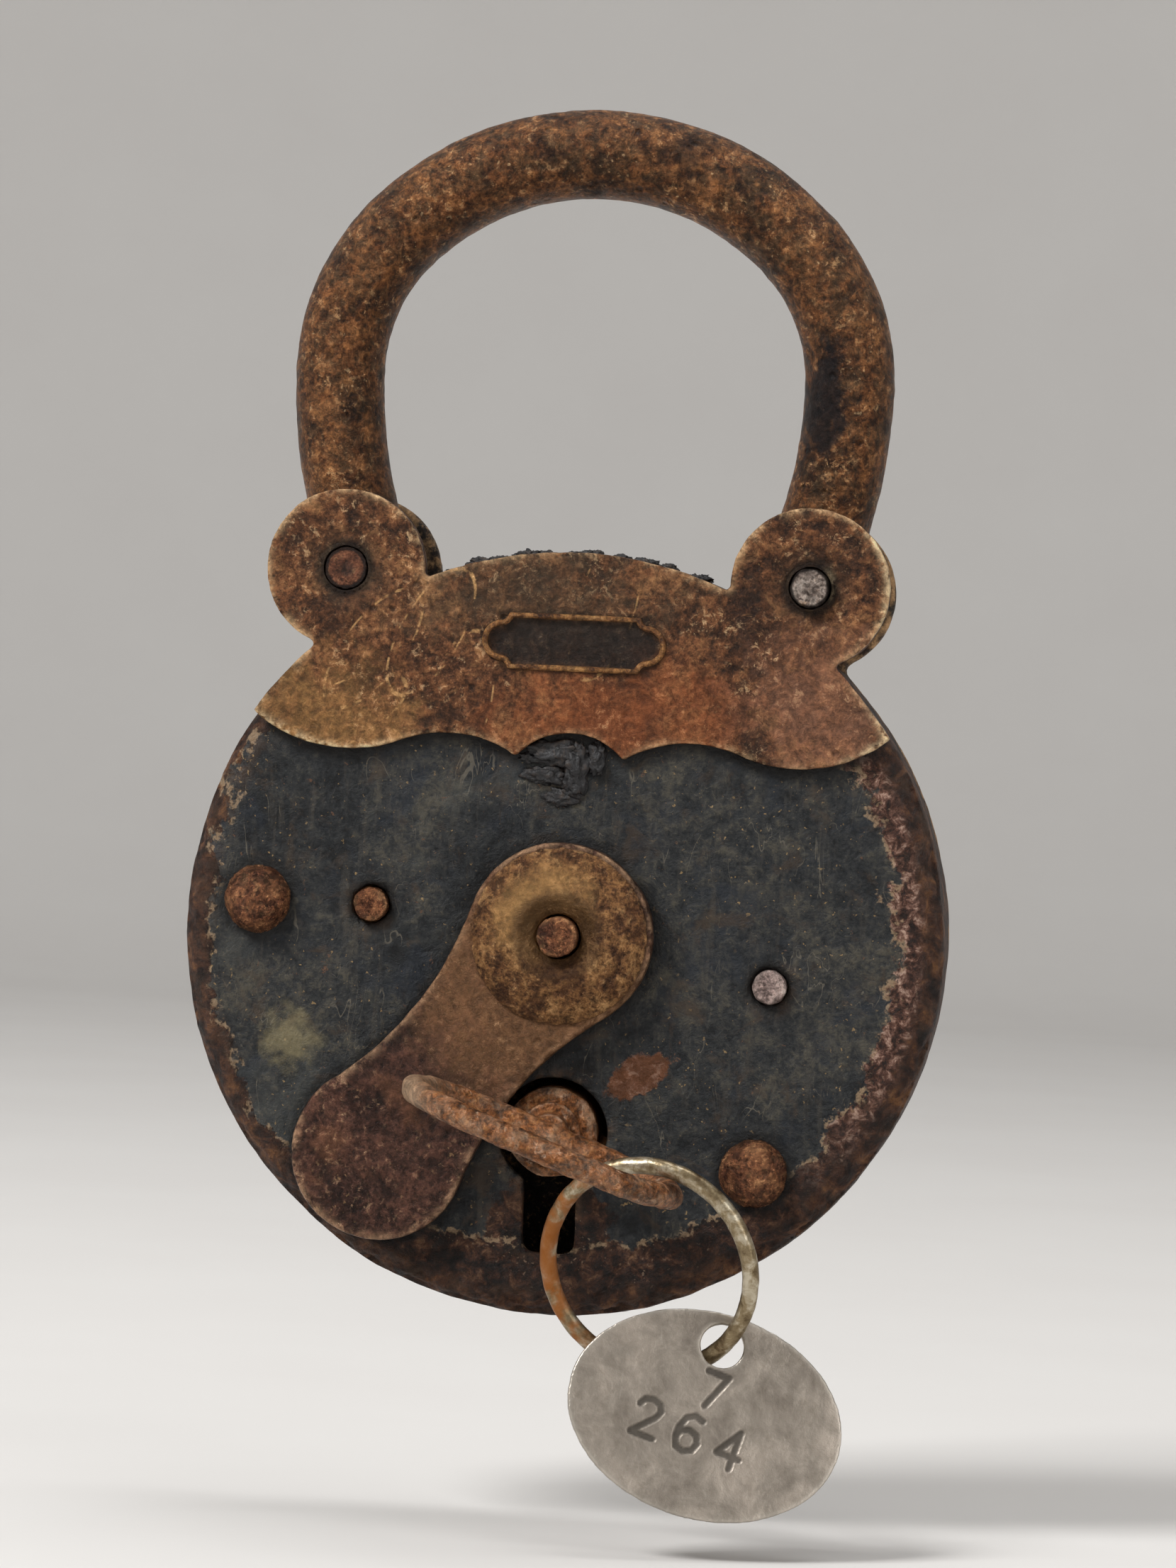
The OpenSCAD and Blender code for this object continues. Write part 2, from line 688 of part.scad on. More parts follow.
// Two round ends joined by hollow flanks, each arc tangent to the next.
module cover_outline() {
    top_a = atan2(-cover_waist_m, cover_waist_c);
    end_a = atan2(cover_l - cover_waist_m, cover_waist_c);
    flank = [cover_waist_c, -cover_waist_m];
    polygon(concat(
        arc([0, 0], cover_top_r, top_a, 180 - top_a, 48),
        arc([-flank[0], flank[1]], cover_waist_r, -top_a, -end_a),
        arc([0, -cover_l], cover_end_r, 180 - end_a, 360 + end_a, 48),
        arc(flank, cover_waist_r, 180 + end_a, 180 + top_a)));
}

module keyhole_cover() {
    color(steel_rust) upright() difference() {
        slab(cover_z, boss_z) translate(pivot_at) rotate(-cover_swing) cover_outline();
        post(pivot_at, cover_rivet_d / 2 + running, 0, boss_z + past);
    }
}

// Washer: a domed ring whose middle is dished round the rivet.
module cover_boss() {
    crown = arc_radius(boss_r, boss_h);
    color(bronze) upright() difference() {
        translate([pivot_at[0], pivot_at[1], boss_z]) rotate_extrude($fn = 96) intersection() {
            translate([0, boss_h - crown]) circle(crown, $fn = 120);
            square([boss_r, boss_h]);
        }
        translate([pivot_at[0], pivot_at[1], boss_z + dish_floor])
            cylinder(r1 = cover_rivet_d / 2 + dish_flat, r2 = cover_rivet_d / 2 + dish_w,
                     h = boss_h - dish_floor + dish_over);
        post(pivot_at, cover_rivet_d / 2 + running, 0, boss_z + boss_h + past);
    }
}

module catch_outline() {
    translate(catch_post_at) circle(catch_hub_r);
    strip([catch_tail, catch_post_at, catch_elbow, catch_top], catch_arm_w);
    translate([catch_top[0], nose_y - nose_h / 2]) square([nose_tip_x - catch_top[0], nose_h]);
}

module catch() {
    color("#6a5a48") upright() difference() {
        union() {
            slab(catch_z, catch_top_z) catch_outline();
            post(stump_at, stump_r, catch_z, lever_stack_top + play);
        }
        post(catch_post_at, post_r + running, catch_z - past, catch_top_z + past);
    }
}

module catch_spring() {
    color(spring_steel) upright() slab(catch_z, catch_top_z) {
        difference() {
            translate(catch_spring_stud_at) circle(spring_stud_r + spring_t);
            translate(catch_spring_stud_at) circle(spring_stud_r);
        }
        strip([catch_spring_foot, catch_spring_tip], spring_t);
    }
}

module catch_spring_stud() {
    color(steel_rust) upright() post(catch_spring_stud_at, spring_stud_r, 0, catch_top_z);
}

module lever_spring_stud() {
    color(steel_rust) upright()
        post(lever_spring_stud_at, spring_stud_r, 0, lever_stack_top + play);
}

module lever_spacer() {
    color(brass) upright() difference() {
        post(lever_post_at, lever_hub_r - spacer_inset, inner_back_z, catch_top_z);
        post(lever_post_at, post_r, 0, catch_top_z + past);
    }
}

module lever_outline() {
    difference() {
        union() {
            translate(lever_post_at) circle(lever_hub_r);
            strip([lever_post_at, lever_bar_end], lever_w);
            translate([lever_end[0] - lever_w, lever_end[1] - lever_w / 2]) square(lever_w);
            strip([[foot_at[0], lever_end[1] - lever_w / 2], foot_at], foot_w);
        }
        translate([lever_end[0] - gate_depth, lever_end[1] - gate_half])
            square([gate_depth + past, 2 * gate_half]);
    }
}

module lever(index) {
    low = lever_z[index];
    color(brass) upright() difference() {
        slab(low, low + lever_t) lever_outline();
        post(lever_post_at, post_r + running, low - past, low + lever_t + past);
    }
}

module lever_1() { lever(0); }
module lever_2() { lever(1); }
module lever_3() { lever(2); }

// A leaf rising from the lever's upper edge to bear under the spring stud.
module lever_spring(index) {
    low = lever_z[index];
    color(spring_steel) upright() slab(low + lever_spring_inset, low + lever_t - lever_spring_inset)
        strip([lever_spring_foot, lever_spring_bend, lever_spring_tip], spring_t);
}

module lever_spring_1() { lever_spring(0); }
module lever_spring_2() { lever_spring(1); }
module lever_spring_3() { lever_spring(2); }

module bow_end(side) {
    translate([side * bow_straight / 2, 0, 0]) rotate([90, 0, 0]) rotate(side > 0 ? -90 : 90)
        rotate_extrude(angle = 180, $fn = 72) translate([bow_line_r, 0])
            circle(d = bow_wire_d, $fn = 32);
}

module key_bow() {
    translate([bow_shift, 0, bow_mid_z]) {
        bow_end(1);
        bow_end(-1);
        for (side = SIDES) translate([-bow_straight / 2, 0, side * bow_line_r])
            rotate([0, 90, 0]) cylinder(d = bow_wire_d, h = bow_straight, $fn = 32);
    }
}

module key_bit() {
    difference() {
        translate([0, -bit_t / 2, bit_low_z]) cube([bit_reach, bit_t, bit_high_z - bit_low_z]);
        for (i = [1, 2]) translate([bit_reach - bit_step * i, -bit_t, lever_z[i] - play / 2])
            cube([bit_reach, 2 * bit_t, lever_t + play]);
    }
}

module key() {
    color(bronze) upright() translate([key_at[0], key_at[1], 0]) rotate(key_line) difference() {
        union() {
            post([0, 0], barrel_d / 2, bit_low_z, face_z + barrel_proud);
            translate([0, 0, face_z + barrel_proud - eps])
                cylinder(r1 = barrel_d / 2, r2 = barrel_d / 2 - barrel_bevel_w, h = barrel_bevel_h);
            post([0, 0], barrel_d / 2 - barrel_ledge, face_z, face_z + barrel_step_h);
            post([0, 0], neck_d / 2, face_z, bow_mid_z - bow_line_r);
            key_bit();
            key_bow();
        }
        post([0, 0], drill_r + running, bit_low_z - past, drill_top_z + drill_end_gap);
    }
}

module key_ring() {
    color(brass) upright() translate([ring_at[0], ring_at[1], bow_mid_z])
        rotate(a = ring_tilt, v = tag_radial)
            rotate_extrude($fn = 96) translate([ring_line_r, 0]) circle(d = ring_wire_d, $fn = 32);
}

// The tag hangs from its hole, which is centred on the ring's wire.
module key_tag() {
    color(grey_metal) upright() translate([ring_at[0], ring_at[1], bow_mid_z])
        translate(ring_line_r * tag_radial) rotate(a = -ring_tilt, v = tag_radial)
            rotate(-tag_lean) difference() {
                translate([0, -tag_hole_drop, -tag_t / 2]) linear_extrude(tag_t)
                    scale([tag_w / tag_h, 1]) circle(d = tag_h, $fn = 96);
                post([0, 0], tag_hole_r, -tag_t, tag_t);
            }
}

front_shell();
back_plate();
top_trim();
shackle();
shackle_pin();
toe_rivet();
case_rivet_left();
case_rivet_right();
lever_post();
catch_post();
drill_pin();
cover_rivet();
keyhole_cover();
cover_boss();
catch();
catch_spring();
catch_spring_stud();
lever_spacer();
lever_1();
lever_2();
lever_3();
lever_spring_1();
lever_spring_2();
lever_spring_3();
lever_spring_stud();
key();
key_ring();
key_tag();
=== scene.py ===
import json
import math

import bmesh
import bpy
import numpy as np
from mathutils import Matrix, Vector, kdtree, noise

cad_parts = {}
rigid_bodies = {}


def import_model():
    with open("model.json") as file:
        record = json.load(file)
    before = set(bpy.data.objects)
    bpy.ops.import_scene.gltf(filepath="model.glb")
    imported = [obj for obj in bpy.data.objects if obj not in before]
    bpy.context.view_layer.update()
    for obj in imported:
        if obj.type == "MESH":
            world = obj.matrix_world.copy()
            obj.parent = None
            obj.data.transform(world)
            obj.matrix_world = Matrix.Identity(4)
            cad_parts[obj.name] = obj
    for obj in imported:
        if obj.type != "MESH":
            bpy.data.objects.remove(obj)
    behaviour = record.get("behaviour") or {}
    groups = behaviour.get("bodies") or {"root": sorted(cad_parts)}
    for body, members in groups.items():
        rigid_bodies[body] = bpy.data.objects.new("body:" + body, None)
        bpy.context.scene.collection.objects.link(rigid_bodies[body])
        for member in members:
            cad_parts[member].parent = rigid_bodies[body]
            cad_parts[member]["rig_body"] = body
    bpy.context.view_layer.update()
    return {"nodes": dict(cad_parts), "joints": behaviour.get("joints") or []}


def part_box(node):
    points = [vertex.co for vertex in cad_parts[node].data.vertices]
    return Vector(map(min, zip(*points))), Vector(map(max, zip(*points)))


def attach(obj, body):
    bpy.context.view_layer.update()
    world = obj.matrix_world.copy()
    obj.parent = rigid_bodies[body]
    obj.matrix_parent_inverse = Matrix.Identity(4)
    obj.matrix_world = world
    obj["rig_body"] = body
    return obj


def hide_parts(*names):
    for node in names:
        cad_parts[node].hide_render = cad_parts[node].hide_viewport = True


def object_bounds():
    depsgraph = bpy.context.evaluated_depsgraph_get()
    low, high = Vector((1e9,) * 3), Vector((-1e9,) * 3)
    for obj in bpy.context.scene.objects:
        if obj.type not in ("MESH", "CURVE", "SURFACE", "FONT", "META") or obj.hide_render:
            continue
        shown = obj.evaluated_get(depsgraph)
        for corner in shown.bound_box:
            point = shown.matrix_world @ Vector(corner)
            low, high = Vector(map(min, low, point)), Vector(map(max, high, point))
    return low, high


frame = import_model()
MM = 0.001
scene = bpy.context.scene

# Places on the lock's face, in mm
EAR_X, EAR_Y = 24.3, 37.28     # the rivets in the two ears; ear_shape has them to a micrometre
LABEL_Y = 30.49                # the cartouche's middle
LABEL_HALF_X, LABEL_HALF_Y = 7.8, 2.95    # the cartouche's corners from its middle
LABEL_END = 7.5                # the middles of its round ends


def bench(x, y, z):
    """A place on the face (x right, y up, z out of it, in mm) as a place in the frame."""
    return Vector((x, -z, y)) * MM


# ---------------------------------------------------------------- materials


def linear(code):
    """An sRGB hex colour as linear RGBA."""
    channels = [int(code[i:i + 2], 16) / 255 for i in (1, 3, 5)]
    return [c / 12.92 if c <= 0.04045 else ((c + 0.055) / 1.055) ** 2.4 for c in channels] + [1]


class Finish:
    """A material and short ways to add nodes to it. All sizes are in mm."""

    def __init__(self, name, slot, metallic=0.0, specular=0.5):
        self.slot = slot
        self.mat = bpy.data.materials.new(name)
        self.mat.use_nodes = True
        self.tree = self.mat.node_tree
        self.shader = self.tree.nodes["Principled BSDF"]
        self.shader.inputs["Metallic"].default_value = metallic
        self.shader.inputs["Specular IOR Level"].default_value = specular
        place = self.add("ShaderNodeTexCoord")
        scale = self.add("ShaderNodeVectorMath", operation="SCALE")
        scale.inputs["Scale"].default_value = 1000
        self.join(place.outputs["Object"], scale.inputs[0])
        self.place = scale.outputs[0]
        parts = self.add("ShaderNodeSeparateXYZ")
        self.join(self.place, parts.inputs[0])
        self.x, self.depth, self.y = parts.outputs

    def add(self, kind, **settings):
        node = self.tree.nodes.new(kind)
        for key, value in settings.items():
            setattr(node, key, value)
        return node

    def join(self, source, target):
        if hasattr(source, "is_linked"):
            self.tree.links.new(source, target)
        else:
            target.default_value = source

    def math(self, operation, a, b=0.0):
        node = self.add("ShaderNodeMath", operation=operation)
        for value, socket in zip((a, b), node.inputs):
            self.join(value, socket)
        return node.outputs[0]

    def plus(self, a, b, scale):
        """a + b * scale; with noise for b it frays the outline that a stands for."""
        return self.math("ADD", a, self.math("MULTIPLY", b, scale))

    def apart(self, a, b):
        """How far a is from b."""
        return self.math("ABSOLUTE", self.math("SUBTRACT", a, b))

    def length(self, a, b):
        return self.math("SQRT", self.math("ADD", self.math("MULTIPLY", a, a),
                                           self.math("MULTIPLY", b, b)))

    def shifted(self, shift, stretch=(1, 1, 1)):
        """The place on the piece, moved so that each seed gives its own noise."""
        node = self.add("ShaderNodeMapping")
        node.inputs["Location"].default_value = shift
        node.inputs["Scale"].default_value = stretch
        self.join(self.place, node.inputs["Vector"])
        return node.outputs[0]

    def noise(self, size, detail=4.0, rough=0.55, warp=0.0, seed=0.0, stretch=(1, 1, 1)):
        """Noise whose lumps are about this size, from 0 to 1."""
        node = self.add("ShaderNodeTexNoise")
        node.inputs["Scale"].default_value = 1 / size
        node.inputs["Detail"].default_value = detail
        node.inputs["Roughness"].default_value = rough
        node.inputs["Distortion"].default_value = warp
        self.join(self.shifted((seed, seed * 0.7, -seed), stretch), node.inputs["Vector"])
        return node.outputs["Fac"]

    def cells(self, size, seed=0.0):
        """Distance to scattered points that lie about this far apart, in cells."""
        node = self.add("ShaderNodeTexVoronoi")
        node.inputs["Scale"].default_value = 1 / size
        self.join(self.shifted((seed, -seed, seed * 0.6)), node.inputs["Vector"])
        return node.outputs["Distance"]

    def step(self, value, low, high):
        """Rises smoothly from 0 at low to 1 at high; falls if low is above high."""
        node = self.add("ShaderNodeMapRange", interpolation_type="SMOOTHSTEP")
        flip = low > high
        self.join(value, node.inputs["Value"])
        node.inputs["From Min"].default_value = min(low, high)
        node.inputs["From Max"].default_value = max(low, high)
        node.inputs["To Min"].default_value = 1.0 if flip else 0.0
        node.inputs["To Max"].default_value = 0.0 if flip else 1.0
        return node.outputs["Result"]

    def blots(self, low, high, *noise):
        """Noise cut into blots: 0 below low, 1 above high, and the rest as for noise."""
        return self.step(self.noise(*noise), low, high)

    def ramp(self, value, *stops):
        """Colours by value; each stop is (place, hex colour)."""
        node = self.add("ShaderNodeValToRGB")
        elements = node.color_ramp.elements
        while len(elements) < len(stops):
            elements.new(0.5)
        for element, (place, code) in zip(elements, stops):
            element.position = place
            element.color = linear(code)
        self.join(value, node.inputs["Fac"])
        return node.outputs["Color"]

    def mix(self, amount, a, b, blend="MIX"):
        node = self.add("ShaderNodeMix", data_type="RGBA", blend_type=blend)
        self.join(amount, node.inputs["Factor"])
        self.join(linear(a) if isinstance(a, str) else a, node.inputs[6])
        self.join(linear(b) if isinstance(b, str) else b, node.inputs[7])
        return node.outputs[2]

    def tint(self, colour, where, strength, over):
        """Lays another colour over this one, where the mask is 1 and with this strength."""
        return self.mix(self.both(where, strength), colour, over)

    def blend(self, amount, a, b):
        """A number between a and b."""
        node = self.add("ShaderNodeMix", data_type="FLOAT")
        for value, socket in zip((amount, a, b), (node.inputs[0], node.inputs[2], node.inputs[3])):
            self.join(value, socket)
        return node.outputs[0]

    def attribute(self, name):
        return self.add("ShaderNodeAttribute", attribute_name=name).outputs["Fac"]

    def away(self, x, y):
        """Distance from a point of the face, seen from the front."""
        across = self.math("SUBTRACT", self.x, x)
        up = self.math("SUBTRACT", self.y, y)
        return self.length(across, up)

    def oval(self, x, y, turn, long):
        """Like away, but stretched along a line turned by this many degrees."""
        across = self.math("SUBTRACT", self.x, x)
        up = self.math("SUBTRACT", self.y, y)
        c, s = math.cos(math.radians(turn)), math.sin(math.radians(turn))
        along = self.math("ADD", self.math("MULTIPLY", across, c / long),
                          self.math("MULTIPLY", up, s / long))
        aside = self.math("SUBTRACT", self.math("MULTIPLY", up, c),
                          self.math("MULTIPLY", across, s))
        return self.length(along, aside)

    def both(self, a, b):
        return self.math("MULTIPLY", a, b)

    def either(self, a, b):
        return self.math("MAXIMUM", a, b)

    def finish(self, colour, rough, bumps=()):
        """Sets the shader. Each bump is (height from 0 to 1, depth in mm)."""
        self.join(colour, self.shader.inputs["Base Color"])
        self.join(rough, self.shader.inputs["Roughness"])
        normal = None
        for height, depth in bumps:
            node = self.add("ShaderNodeBump")
            node.inputs["Strength"].default_value = 1.0
            node.inputs["Distance"].default_value = depth * MM
            self.join(height, node.inputs["Height"])
            if normal is not None:
                self.join(normal, node.inputs["Normal"])
            normal = node.outputs[0]
        if normal is not None:
            self.join(normal, self.shader.inputs["Normal"])
        return self


# ---------------------------------------------------------------- pieces

MERGE = 2e-6                   # corners of a CAD mesh closer than this are one, in metres
WIDE_ROUNDS = 12               # rounds of averaging that flatten edges, to find the raised ones
EDGE_RISE = 0.18               # mm above that flattened surface at which an edge is fully worn


def link(name, data):
    made = bpy.data.objects.new(name, data)
    scene.collection.objects.link(made)
    return made


def applied(thing):
    """The mesh an object shows with its modifiers or its bevel applied."""
    bpy.context.view_layer.update()
    shown = thing.evaluated_get(bpy.context.evaluated_depsgraph_get())
    return bpy.data.meshes.new_from_object(shown)


def vectors(mesh, what):
    """The places (co) or the normals (normal) of a mesh's vertices, one in each row."""
    values = np.empty(len(mesh.vertices) * 3)
    mesh.vertices.foreach_get(what, values)
    return values.reshape(-1, 3)


def neighbours(mesh):
    edges = np.empty(len(mesh.edges) * 2, np.int64)
    mesh.edges.foreach_get("vertices", edges)
    return edges.reshape(-1, 2)


def spread(values, edges, rounds):
    """Averages each vertex's value with its neighbours' values."""
    count = np.bincount(edges.ravel(), minlength=len(values)).astype(float)
    count = count.reshape((-1,) + (1,) * (values.ndim - 1))
    for _ in range(rounds):
        total = np.zeros_like(values)
        np.add.at(total, edges[:, 0], values[edges[:, 1]])
        np.add.at(total, edges[:, 1], values[edges[:, 0]])
        values = 0.5 * values + 0.5 * total / count
    return values


def lumps(points, size, detail, seed):
    """Fractal noise at each point, about -1 to 1, with lumps of this size in mm."""
    scale = 1 / (size * MM)
    shift = Vector((seed, seed * 1.7, -seed * 0.6))
    return np.array([noise.fractal(Vector(p) * scale + shift, 0.9, 2.1, detail) for p in points])


def worn(node, voxel, finish, layers, rounding=2, shape=None):
    """A rounded, dented copy of a CAD node that stands for it.

    Each layer is (depth in mm, size in mm, detail, seed): noise that only eats into the metal.
    The attribute edge is 1 on raised edges; shape may move the points and set more attributes."""
    source = frame["nodes"][node]
    mesh = source.data.copy()
    work = bmesh.new()
    work.from_mesh(mesh)
    bmesh.ops.remove_doubles(work, verts=work.verts, dist=MERGE)
    work.to_mesh(mesh)
    work.free()
    piece = link("worn_" + node, mesh)
    remesh = piece.modifiers.new("remesh", "REMESH")
    remesh.mode = "VOXEL"
    remesh.voxel_size = voxel * 1.0 * MM
    grid = applied(piece)
    piece.modifiers.clear()
    piece.data = grid
    bpy.data.meshes.remove(mesh)
    edges = neighbours(grid)
    points = spread(vectors(grid, "co"), edges, rounding)
    low, high = (np.array(corner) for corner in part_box(node))
    wide = spread(points, edges, WIDE_ROUNDS)
    grid.vertices.foreach_set("co", points.ravel())
    grid.update()
    normals = vectors(grid, "normal")
    edge = np.clip(((points - wide) * normals).sum(1) / (EDGE_RISE * MM), 0, 1)
    set_attribute(grid, "edge", spread(edge, edges, 1))
    depth = np.zeros(len(points))
    for amount, size, detail, seed in layers:
        depth += amount * np.clip(0.5 + lumps(points, size, detail, seed), 0, 1.4)
    if shape is not None:
        depth += shape(grid, points, normals)
    points = np.clip(points - normals * (depth * MM)[:, None], low, high)
    grid.vertices.foreach_set("co", points.ravel())
    grid.shade_smooth()
    grid.materials.clear()
    grid.materials.append(finish.mat)
    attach(piece, source["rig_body"])
    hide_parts(node)
    return piece


def set_attribute(mesh, name, values):
    layer = mesh.attributes.new(name, "FLOAT", "POINT")
    layer.data.foreach_set("value", np.asarray(values, np.float32))


def keep(node, finish):
    """A CAD node that stays and gets a better material."""
    node_object = frame["nodes"][node]
    node_object.data.materials.clear()
    node_object.data.materials.append(finish.mat)


def lump(name, places, finish, body, seed):
    """Crumpled balls of crust; each place is (x, y, z, radii along x, y and z), in mm."""
    work = bmesh.new()
    for number, (x, y, z, rx, ry, rz) in enumerate(places):
        made = bmesh.ops.create_icosphere(work, subdivisions=4, radius=1)
        for vertex in made["verts"]:
            way = vertex.co.copy()
            shift = Vector((seed + number * 3.1, number * 1.3, -seed))
            swell = 1 + 0.45 * noise.fractal(way * 1.9 + shift, 0.8, 2.1, 4)
            crease = abs(noise.noise(way * 3.3 + shift * 2))
            way *= swell - 0.35 * (0.5 - min(crease, 0.5))
            vertex.co = bench(x + way.x * rx, y + way.z * ry, z - way.y * rz)
    mesh = bpy.data.meshes.new(name)
    work.to_mesh(mesh)
    work.free()
    mesh.shade_smooth()
    mesh.materials.append(finish.mat)
    piece = link(name, mesh)
    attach(piece, body)


# ---------------------------------------------------------------- finishes


def rust(name, slot, darks, seed, size=7.0, shine=0.45, edge_colour="#c39a6c", edge_amount=0.6,
         speck_colour="#c9a070", speck_amount=0.35, pit=0.16, metallic=0.45, contrast=0.45,
         polish_and_highlight=0.4, patch=None):
    """Mottled rust: four browns in large and small patches, dark pits, pale specks and worn edges.

    A patch is a function that lays what only this piece has over the colour and the roughness."""
    f = Finish(name, slot, metallic=metallic, specular=0.3)
    broad = f.noise(size, 5, 0.6, 0.5, seed)
    fine = f.noise(size * 0.22, 6, 0.68, 0.3, seed + 11)
    grain = f.noise(0.5, 5, 0.75, 0.0, seed + 23)
    tone = f.plus(f.math("MULTIPLY", broad, 0.42), fine, 0.36)
    tone = f.plus(tone, grain, 0.22)
    colour = f.ramp(tone, (0.40, darks[0]), (0.47, darks[1]), (0.53, darks[2]), (0.62, darks[3]))
    colour = f.tint(colour, f.step(grain, 0.54, 0.36), 0.55, "#17100b")
    scale = f.noise(size * 0.5, 6, 0.76, 0.9, seed + 61)
    colour = f.tint(colour, f.step(scale, 0.49, 0.38), 0.45, "#1b110c")
    colour = f.tint(colour, f.step(scale, 0.55, 0.66), 0.5, darks[3])
    pits = f.step(f.cells(2.1, seed + 5), 0.24, 0.06)
    pits = f.both(pits, f.blots(0.45, 0.62, 5, 3, 0.5, 0, seed + 31))
    colour = f.tint(colour, pits, 0.75, "#1a100b")
    # Pale specks: bright grains in the rust, and partly painted glints
    specks = f.both(f.blots(0.66, 0.74, 0.55, 2, 0.5, 0, seed + 41),
                    f.blots(0.42, 0.6, size * 0.8, 3, 0.5, 0, seed + 47))
    colour = f.tint(colour, specks, speck_amount, speck_colour)
    rough = f.blend(fine, shine - 0.12, shine + 0.22)
    tooth = f.noise(1.0, 6, 0.8, 0.4, seed + 67)
    # Pale, smoother flecks: polished spots, and partly a painted highlight
    flecks = f.both(f.step(tooth, 0.55, 0.64), f.blots(0.42, 0.6, size * 0.8, 4, 0.6, 0, seed + 71))
    colour = f.tint(colour, flecks, polish_and_highlight, edge_colour)
    rough = f.blend(flecks, rough, 0.22)
    wear = f.both(f.attribute("edge"), f.blots(0.4, 0.6, 1.8, 5, 0.65, 0, seed + 53))
    colour = f.tint(colour, wear, edge_amount, edge_colour)
    if patch is not None:
        colour, rough = patch(f, colour, rough)
    shade = f.ramp(tooth, (0.39, "#3c3c3c"), (0.48, "#b0b0b0"), (0.60, "#ffffff"))
    colour = f.mix(contrast, colour, shade, "OVERLAY")
    bumps = [(broad, 0.30), (fine, 0.30), (scale, 0.2), (tooth, 0.24), (grain, 0.12),
             (f.math("SUBTRACT", 1.0, pits), pit)]
    return f.finish(colour, rough, bumps)


def on_shackle(f, colour, rough):
    gold = f.both(f.blots(0.52, 0.66, 1.5, 5, 0.7, 0.4, 71), f.blots(0.38, 0.62, 9, 3, 0.5, 0, 72))
    colour = f.tint(colour, gold, 0.45, "#8a5a32")
    soot = f.blots(0.56, 0.68, 8, 4, 0.6, 0.6, 74, (1, 1, 0.6))
    colour = f.tint(colour, soot, 0.72, "#1e1714")
    black = f.step(f.plus(f.oval(24.6, 57, 86, 2.4), f.noise(2.2, 4, 0.6, 0, 76), 5), 5.6, 4.2)
    colour = f.tint(colour, black, 0.92, "#111013")
    return colour, f.blend(soot, rough, 0.62)


def on_trim(f, colour, rough):
    blot = f.noise(4, 5, 0.65, 0.5, 81)
    orange = f.step(f.plus(blot, f.oval(5, 22.5, 4, 2.2), 0.06), 1.0, 0.62)
    colour = f.tint(colour, orange, 0.5, "#8b4d2a")
    right = f.step(f.plus(blot, f.away(26, 25), 0.05), 1.05, 0.66)
    colour = f.tint(colour, right, 0.45, "#946850")
    gold = f.step(f.plus(blot, f.oval(-25, 21.5, -20, 1.6), 0.06), 1.0, 0.62)
    colour = f.tint(colour, gold, f.blend(f.noise(1.8, 5, 0.7, 0.6, 84), -0.1, 1.1), "#977042")
    olive = f.step(f.math("ADD", f.math("MULTIPLY", f.oval(-4, 35, 0, 3), 0.07),
                          f.noise(3, 5, 0.65, 0.5, 85)), 1.0, 0.66)
    colour = f.tint(colour, olive, 0.6, "#463829")
    # Round each ear rivet: a darker dished ring and a near-black ring close in, dirt and painted
    # shade in the dish and beside the rivet
    for x in (-EAR_X, EAR_X):
        dish_shade = f.step(f.plus(f.away(x, EAR_Y), f.noise(2, 4, 0.6, 0, 86), 4), 7.6, 4.2)
        colour = f.tint(colour, dish_shade, 0.6, "#33281f")
        colour = f.tint(colour, f.step(f.away(x, EAR_Y), 3.4, 2.6), 0.85, "#140d09")
    for x, y, turn, seed in ((-15, 31, 62, 1), (-11.5, 24, 80, 2), (-21, 29, 55, 3), (3, 34, 75, 4),
                             (-24, 22, 30, 5)):
        line = f.apart(f.oval(x, y, turn, 2.4), 3.1)
        line = f.both(f.step(line, 0.13, 0.05), f.blots(0.5, 0.6, 1.6, 3, 0.6, 0, 87 + seed))
        colour = f.tint(colour, line, 0.6, "#c09663")
    # The sunk cartouche field and a thin line just outside its raised border are darkened: dirt,
    # and painted shade in the recess and beside the border
    field = f.both(f.both(f.step(f.depth, -16.30, -16.24),
                          f.step(f.math("ABSOLUTE", f.x), 9.4, 9.0)),
                   f.step(f.apart(f.y, 30.5), 2.65, 2.4))
    field = f.both(field, f.attribute("field"))
    colour = f.tint(colour, field, 0.88, "#221d1a")
    colour = f.tint(colour, f.attribute("outline"), 0.75, "#1d130c")
    # Cream on the raised edges at the right ear, the lower right tip and the lower left lobe: worn
    # edges, and partly a painted highlight
    bright = f.either(f.step(f.away(33, 39), 8, 4),
                      f.either(f.step(f.away(36, 19), 10, 4),
                               f.step(f.oval(-27, 18, -10, 2), 6, 3)))
    rim = f.both(f.both(f.attribute("edge"), bright), f.blots(0.42, 0.56, 1.1, 4, 0.65, 0, 97))
    return f.tint(colour, rim, 0.9, "#ecd3a8"), rough


def on_cover(f, colour, rough):
    pale = f.blots(0.56, 0.7, 6, 4, 0.6, 0.4, 91)
    colour = f.tint(colour, pale, 0.3, "#7c5238")
    near = f.step(f.plus(f.away(-3, -5), f.noise(3, 4, 0.6, 0.4, 92), 8), 20, 12)
    return f.tint(colour, near, 0.5, "#86603f"), rough


def on_boss(f, colour, rough):
    # A golden patch up and left of the middle: painted highlight on the domed boss
    gold = f.step(f.plus(f.away(-1.5, 2.5), f.noise(3, 4, 0.6, 0.3, 95), 7), 10, 6)
    colour = f.tint(colour, gold, 0.55, "#ab8452")
    # A dark ring round the middle rivet: painted shade in the boss's dish
    dish_shade = f.both(f.step(f.away(0, 0), 2.2, 2.6), f.step(f.away(0, 0), 5.4, 4.2))
    return f.tint(colour, dish_shade, 0.65, "#2e1c12"), rough


def on_key(f, colour, rough):
    silver = f.both(f.blots(0.52, 0.66, 1.8, 5, 0.7, 0.4, 101), 0.4)
    tip = f.step(f.x, -9.5, -13)
    colour = f.mix(f.either(silver, f.both(tip, 0.8)), colour, "#ab8f74")
    return colour, f.blend(tip, rough, 0.3)


